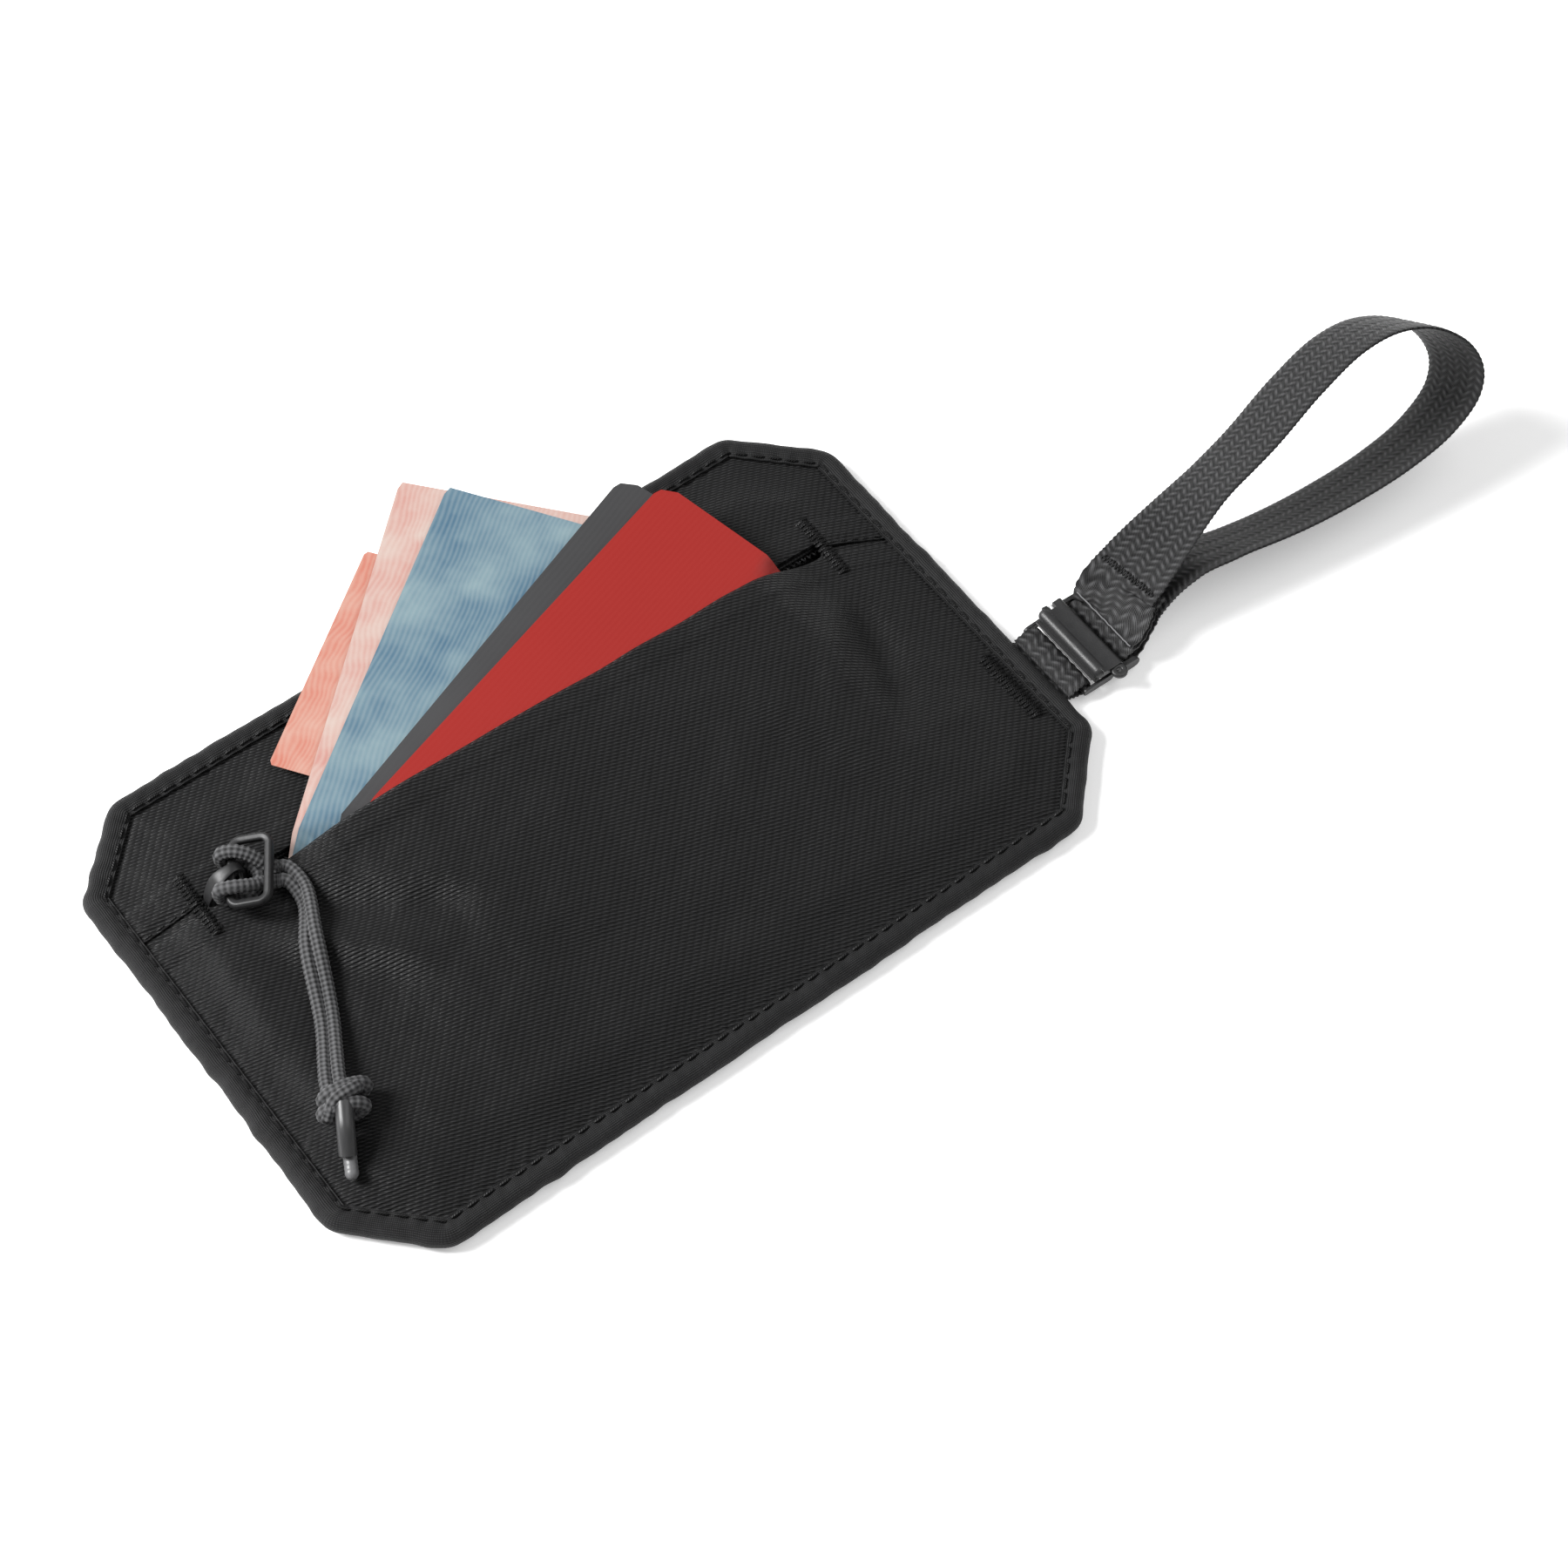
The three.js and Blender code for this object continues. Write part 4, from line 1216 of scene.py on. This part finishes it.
def add_tab():
    low = [(66.0, FLEX_Z), (74.0, FLEX_Z), (79.6, FLEX_Z - 0.1), (81.2, FLEX_Z - 0.8)]
    turn = arc(WEB_BAR_X, FLEX_Z, 1.75 - WEB_THICK / 2, -0.5, 0.5, 7)
    back = [(81.4, FLEX_Z + 1.15), (80.3, FLEX_Z + 0.75), (79.5, FLEX_Z + 0.55)]
    path = course([(x, TAB_Y, z) for x, z in low + turn + back], 0.3)
    web = piece("tab_webbing", [webbing(path, np.tile((0, 1.0, 0), (len(path), 1)))], WEBBING_FINISH,
                body=None, stands_for=("tab_tail", "strap_tab"))
    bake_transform(web)


def add_catch():
    ear = arc(CATCH_X, FLEX_Z, 0.9, -0.5, 0.5) + arc(WEB_BAR_X, FLEX_Z, 0.75, 0.5, 1.5)
    piece("clasp_catch_ears", both_sides(ear, EAR_INNER, 0.6), CLASP_FINISH, body="tab",
          stands_for=("clasp_catch",), bevel=0.15)
    bars = [cross_bar(WEB_BAR_X, FLEX_Z, 0.7, CLASP_WIDTH - 0.8, 16),
            cross_bar(CATCH_X, FLEX_Z, 1.0, CLASP_WIDTH - 0.8, 20)]
    piece("clasp_catch_bars", bars, CLASP_FINISH, body="tab")


def eyelet(x, y, z, outer, inner, half):
    """A flat ring lying level."""
    quarter = [(inner, -half + 0.15), (inner + 0.15, -half), (outer - 0.2, -half), (outer, -half + 0.2)]
    section = quarter + [(r, -h) for r, h in quarter[::-1]]
    rings = [
        [(x + r * math.cos(turn), y + r * math.sin(turn), z + h) for r, h in section]
        for turn in circle(28)
    ]
    return shell(rings, closed=True)


def cover_top(x):
    """The cover's crown, which sinks a little towards the roll and the back."""
    t = (x - ROLL_X) / (HOOK_BACK_X - BACK_BEND - ROLL_X)
    return ROLL_Z + 1.2 * (1 - t) ** 2 + t * (1 - t) + 0.75 * t ** 2


def cover(x_low, x_high, y_low, y_high):
    """A length of the cover, with its turned-down back edge where it reaches that far."""
    outline = [(x, cover_top(x)) for x in np.linspace(x_low, min(x_high, HOOK_BACK_X - BACK_BEND), 8)]
    if x_high < HOOK_BACK_X:
        outline.append((x_high, COVER_UNDER))
    else:
        inner_x = HOOK_BACK_X - HOOK_WALL
        outline += arc(HOOK_BACK_X - BACK_BEND, ROLL_Z + 0.05, BACK_BEND, 0.5, 0.0, 9)[1:]
        outline += [(HOOK_BACK_X, ROLL_Z - 1.2), (inner_x, ROLL_Z - 1.2), (inner_x, COVER_UNDER)]
    outline.append((x_low, COVER_UNDER))
    return across_y(outline, y_low, y_high)


def add_hook():
    notch_low, notch_high, notch_deep = ROLL_X + 1.2, ROLL_X + 2.4, 1.1
    near = TAB_Y - CLASP_WIDTH / 2 + 0.2
    far = TAB_Y + CLASP_WIDTH / 2 - 0.2
    notch = far - notch_deep
    parts = [
        cover(ROLL_X, HOOK_BACK_X, near, notch),
        cover(ROLL_X, notch_low, notch - 0.3, far),
        cover(notch_high, HOOK_BACK_X, notch - 0.3, far),
    ]
    wall_y = EAR_INNER - 0.5
    for x in (ROLL_X, HOOK_BACK_X - HOOK_WALL / 2):
        front, back = x - HOOK_WALL / 2, x + HOOK_WALL / 2
        wall = [(front, 1.0), (back, 1.0), (back, ROLL_Z), (front, ROLL_Z)]
        parts.append(across_y(wall, TAB_Y - wall_y, TAB_Y + wall_y))
    lip = [(-2.0, -0.95), (0.0, -0.95), (0.0, -0.6), (-1.9, -0.7)]
    lip_y = CLASP_WIDTH / 2 - 1.1
    parts.append(across_y([(ROLL_X + x, ROLL_Z + z) for x, z in lip], TAB_Y - lip_y, TAB_Y + lip_y))
    arm = [(HOOK_BACK_X - HOOK_WALL, 0.95)] + arc(STRAP_X, STRAP_Z, 1.1, -0.5, 0.5)
    arm += [(HOOK_BACK_X, 3.4), (HOOK_BACK_X - HOOK_WALL, 3.4)]
    parts += both_sides(arm, EAR_INNER, CLASP_WIDTH / 2 - EAR_INNER)
    piece("clasp_hook_cover", parts, CLASP_FINISH, body="hook",
          stands_for=("clasp_hook",), bevel=0.14)
    rounds = [cross_bar(ROLL_X, ROLL_Z, 1.25, CLASP_WIDTH - 0.4),
              cross_bar(STRAP_X, STRAP_Z, 0.7, CLASP_WIDTH - 0.5, 16),
              eyelet(HOOK_BACK_X - 1.5, TAB_Y - CLASP_WIDTH / 2 - 0.6, ROLL_Z, 1.5, 0.45, 0.45)]
    piece("clasp_hook_rod", rounds, CLASP_FINISH, body="hook")
    # Two pale bars across the notch: painted glints for its bright edges.
    glint_bars = [tube(np.array([(x, far - 0.95, ROLL_Z + 0.1), (x, far - 0.1, ROLL_Z + 0.3)]), 0.14, 8)
             for x in (notch_low + 0.35, notch_low + 0.85)]
    piece("clasp_hook_painted_glint", glint_bars, NOTCH_GLINT_FINISH, body="hook")


# --- Neck loop ---

LOOP_ROLL = 0.628
LOOP_YAW = -0.131


def at_loop(out, up):
    """A point of the loop: out from the strap bar and up across the open loop."""
    roll = LOOP_ROLL * ease(out / 6)
    y = STRAP_PLACE[1] + out * LOOP_YAW * ease(out / 10) + up * np.sin(roll)
    return np.stack([STRAP_X + out, y, STRAP_Z + up * np.cos(roll)], -1)


def loop_course():
    """The loop's course as (out, up): round the strap bar from under the tack, out and back."""
    root = [(-0.4, 3.36), (0.4, 3.42), (4, 5.1), (10, 8.6), (17, 12.2)]
    outward = [(25, 16), (38, 21.2), (50, 27), (60, 30.6)]
    bend = [(68, 31), (75, 28.4), (80, 23.2), (81.2, 18), (79, 13.4), (72, 9)]
    back = [(62, 6.2), (50, 4.7), (38, 4.3), (25, 5.2), (17, 6.4), (10, 5.5), (4, 1.7), (1.4, -0.9)]
    end = [(2, 2.1), (4, 3.35), (9, 6.6)]
    points = root + outward + bend + back + arc(0, 0, 1.45, 1.5, 0.5, 4) + end
    return course([(*p, 0) for p in points], 0.34)[:, :2]


def loop_across(out):
    """The direction across the webbing at a distance out."""
    roll = LOOP_ROLL * ease(out / 30)
    return np.stack([0 * roll, -np.cos(roll), np.sin(roll)], -1)


def add_loop():
    flat = loop_course()
    path = at_loop(flat[:, 0], flat[:, 1])
    web = webbing(path, loop_across(flat[:, 0]))
    piece("neck_webbing", [web], WEBBING_FINISH, body="strap", stands_for=("strap_loop",))
    dice = random.Random(9)
    add_loop_tack(dice)
    add_cut_end(path, loop_across(flat[:1, 0])[0], dice)


def add_loop_tack(dice):
    """The zigzag that closes the loop, across the webbing near the clasp."""
    out, up, half = 7.9, 7.33, 6.2
    before, centre, after = at_loop(np.array([7.2, out, 8.6]), np.array([6.93, up, 7.74]))
    tangent = unit(after - before)
    across = square_to(loop_across(np.array(out)), tangent)
    off = -np.cross(tangent, across)
    off *= np.sign(off[2])
    points = []
    for k, share in enumerate(np.linspace(-1, 1, 37)):
        lean = (1 if k % 2 else -1) * (0.5 + 0.1 * dice.random())
        points.append(centre + across * share * half + tangent * lean + off * 0.5)
        points.append(centre + across * (share + 0.027) * half + off * (0.68 + 0.05 * dice.random()))
    piece("tack_strap", [tube(course(points, 0.25), 0.13, 6, round_ends=True)], WEBBING_FINISH,
          body="strap", stands_for=("strap_bar_tack",))


def add_cut_end(path, side, dice):
    """The pale fused threads along the webbing's cut end."""
    way = unit(path[2] - path[0])
    ends = [path[0] + side * s * 7.2 - way * 0.05 + np.array((0, 0, 0.42)) + way * 0.14 * dice.random()
            for s in np.linspace(-1, 1, 26)]
    piece("webbing_cut_end", [tube(course(ends, 0.2), 0.13, 6)], CUT_END_FINISH, body="strap")


add_zip()
add_slider()
add_pull()
add_tab()
add_catch()
add_hook()
add_loop()


# --- Contents: plain cards and notes that hold the pocket open; not part of the pouch ---

CARD = (85.6, 54.0, 0.76, 3.2)  # length, width, thickness and corner radius
NOTE_THICK = 0.12
NOTE_CORNER = 0.5


def printed(name, paper, inks, scale):
    """Paper or plastic with faint wavy bands of colour and no lettering."""
    f = Finish(name, 0.45, 0.3)
    patches = f.line(f.cloud(scale, 4.0), 2.6, -0.8)
    lines = f.wave(f.line(f.cloud(scale * 2), 8.0, f.v), 0.9)
    tint = f.add("ShaderNodeMix", data_type="RGBA", blend_type="MIX")
    f.join(f.times(lines, 0.3), tint.inputs["Factor"])
    f.join(f.blend(patches, inks[0], inks[1]), tint.inputs[6])
    tint.inputs[7].default_value = (*paper, 1)
    f.set("Base Color", tint.outputs[2])
    return f.material


def leaf(name, corner, way, size, z_at, material):
    """A sheet from a corner: its length along way (degrees), its width to the left, at heights z_at(x, y)."""
    length, width, thickness, radius = size
    u = np.array((math.cos(math.radians(way)), math.sin(math.radians(way))))
    v = np.array((-u[1], u[0]))
    a = np.linspace(0, length, 60)[:, None]
    near_end = np.clip(radius - np.minimum(a, length - a), 0, radius)
    cut = radius - np.sqrt(radius ** 2 - near_end ** 2)
    b = cut + np.linspace(0, 1, 40)[None, :] * (width - 2 * cut)
    x = corner[0] + u[0] * a + v[0] * b
    y = corner[1] + u[1] * a + v[1] * b
    rows = np.stack([x, y, z_at(x, y), a + 0 * b, b], -1)
    upper = rows[..., :3]
    lower = (upper - (0, 0, thickness))[:, ::-1]
    uv = np.concatenate([rows[..., 3:], rows[:, ::-1, 3:], rows[:, :1, 3:]], axis=1)
    obj = piece(name, [shell(np.concatenate([upper, lower], axis=1), uv, cap="strip")], material, body=None)
    tuck_away(obj)


def tuck_away(obj):
    """Gives a sheet a mesh of its own."""
    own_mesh(obj)


def tucked(z_mouth, slope, under):
    """A sheet that stands at z_mouth on the zip line, and inside the pocket keeps below the lower front."""
    def height(x, y):
        mouth = mouth_edge(x)
        cover_z = lower_top(x, np.minimum(y, mouth - 0.9)) - CLOTH - 0.7 - under
        cover_z += 0.9 * np.maximum(0, y - mouth)
        return np.maximum(1.3 + 0.3 * (2.6 - under), np.minimum(z_mouth + slope * (y - 21.0), cover_z))
    return height


def add_contents():
    """Two cards and three notes, from the front to the back."""
    red = printed("red_card", (0.28, 0.02, 0.016), ((0.25, 0.012, 0.009), (0.28, 0.015, 0.011)), 60.0)
    silver = printed("grey_card", (0.05, 0.05, 0.052), ((0.034, 0.034, 0.035), (0.05, 0.05, 0.052)), 40.0)
    blue = printed("blue_note", (0.25, 0.3, 0.32), ((0.025, 0.085, 0.15), (0.2, 0.28, 0.3)), 16.0)
    pink = printed("pink_note", (0.5, 0.42, 0.38), ((0.42, 0.2, 0.17), (0.46, 0.38, 0.34)), 9.0)
    orange = printed("orange_note", (0.5, 0.34, 0.28), ((0.42, 0.13, 0.09), (0.45, 0.25, 0.2)), 7.0)
    note = (NOTE_THICK, NOTE_CORNER)
    leaf("prop_card_front", (46.4, 43.4), 196, CARD, tucked(9.7, 0.12, 0.0), red)
    leaf("prop_card_back", (42.0, 49.7), 199.2, CARD, tucked(8.5, 0.09, 1.0), silver)
    leaf("prop_note_blue", (16.5, 67.5), 215.5, (96, 55, *note), tucked(7.4, 0.04, 2.0), blue)
    leaf("prop_note_pink", (10.6, 74.0), 221.6, (94, 50, *note), tucked(6.9, 0.03, 2.3), pink)
    leaf("prop_note_orange", (-2.2, 66.0), 215.3, (46.2, 60, *note), tucked(6.2, 0.02, 2.6), orange)


add_contents()


# --- Floor, light and camera ---

def pale_floor():
    bpy.ops.mesh.primitive_plane_add(size=6.0, location=(0, 0, -0.0003))
    floor = bpy.context.object
    floor.name = "floor"
    white = bpy.data.materials.new("floor")
    white.use_nodes = True
    surface = white.node_tree.nodes["Principled BSDF"]
    surface.inputs["Base Color"].default_value = (0.93, 0.93, 0.93, 1)
    surface.inputs["Roughness"].default_value = 0.9
    surface.inputs["Emission Color"].default_value = (1, 1, 1, 1)
    surface.inputs["Emission Strength"].default_value = 0.3
    floor.data.materials.append(white)


def soft_light(name, place, size, power):
    """An area light at a place in metres, aimed at the pouch."""
    lamp = bpy.data.lights.new(name, "AREA")
    lamp.size = size
    lamp.energy = power
    holder = bpy.data.objects.new(name, lamp)
    holder.location = place
    holder.rotation_mode = "QUATERNION"
    holder.rotation_quaternion = Vector(place).to_track_quat("Z", "Y")
    scene.collection.objects.link(holder)


def studio():
    world = bpy.data.worlds.new("room")
    world.use_nodes = True
    world.node_tree.nodes["Background"].inputs["Color"].default_value = (1, 1, 1, 1)
    world.node_tree.nodes["Background"].inputs["Strength"].default_value = 0.27
    scene.world = world
    scene.view_settings.view_transform = "Standard"
    soft_light("key", (-0.62, 0.55, 0.72), 0.45, 24)
    soft_light("fill", (0.5, -0.3, 0.9), 0.9, 4)


CAMERA_PLACE = Vector((-172.8, -265.1, 520.5)) * MM
CAMERA_BACK = Vector((-0.331, -0.411, 0.849))  # from the pouch towards the camera
CAMERA_ROLL = math.radians(1.676)
CAMERA_LENS = 82.03


def place_camera():
    """Seen from the lower left and above, as a hand-held picture of the pouch would be."""
    camera = bpy.data.cameras.new("camera")
    camera.lens = CAMERA_LENS
    camera.sensor_width = 36
    holder = bpy.data.objects.new("camera", camera)
    holder.location = CAMERA_PLACE
    holder.rotation_mode = "QUATERNION"
    holder.rotation_quaternion = CAMERA_BACK.to_track_quat("Z", "Y") @ Quaternion((0, 0, 1), CAMERA_ROLL)
    scene.collection.objects.link(holder)
    scene.camera = holder


pale_floor()
studio()
place_camera()
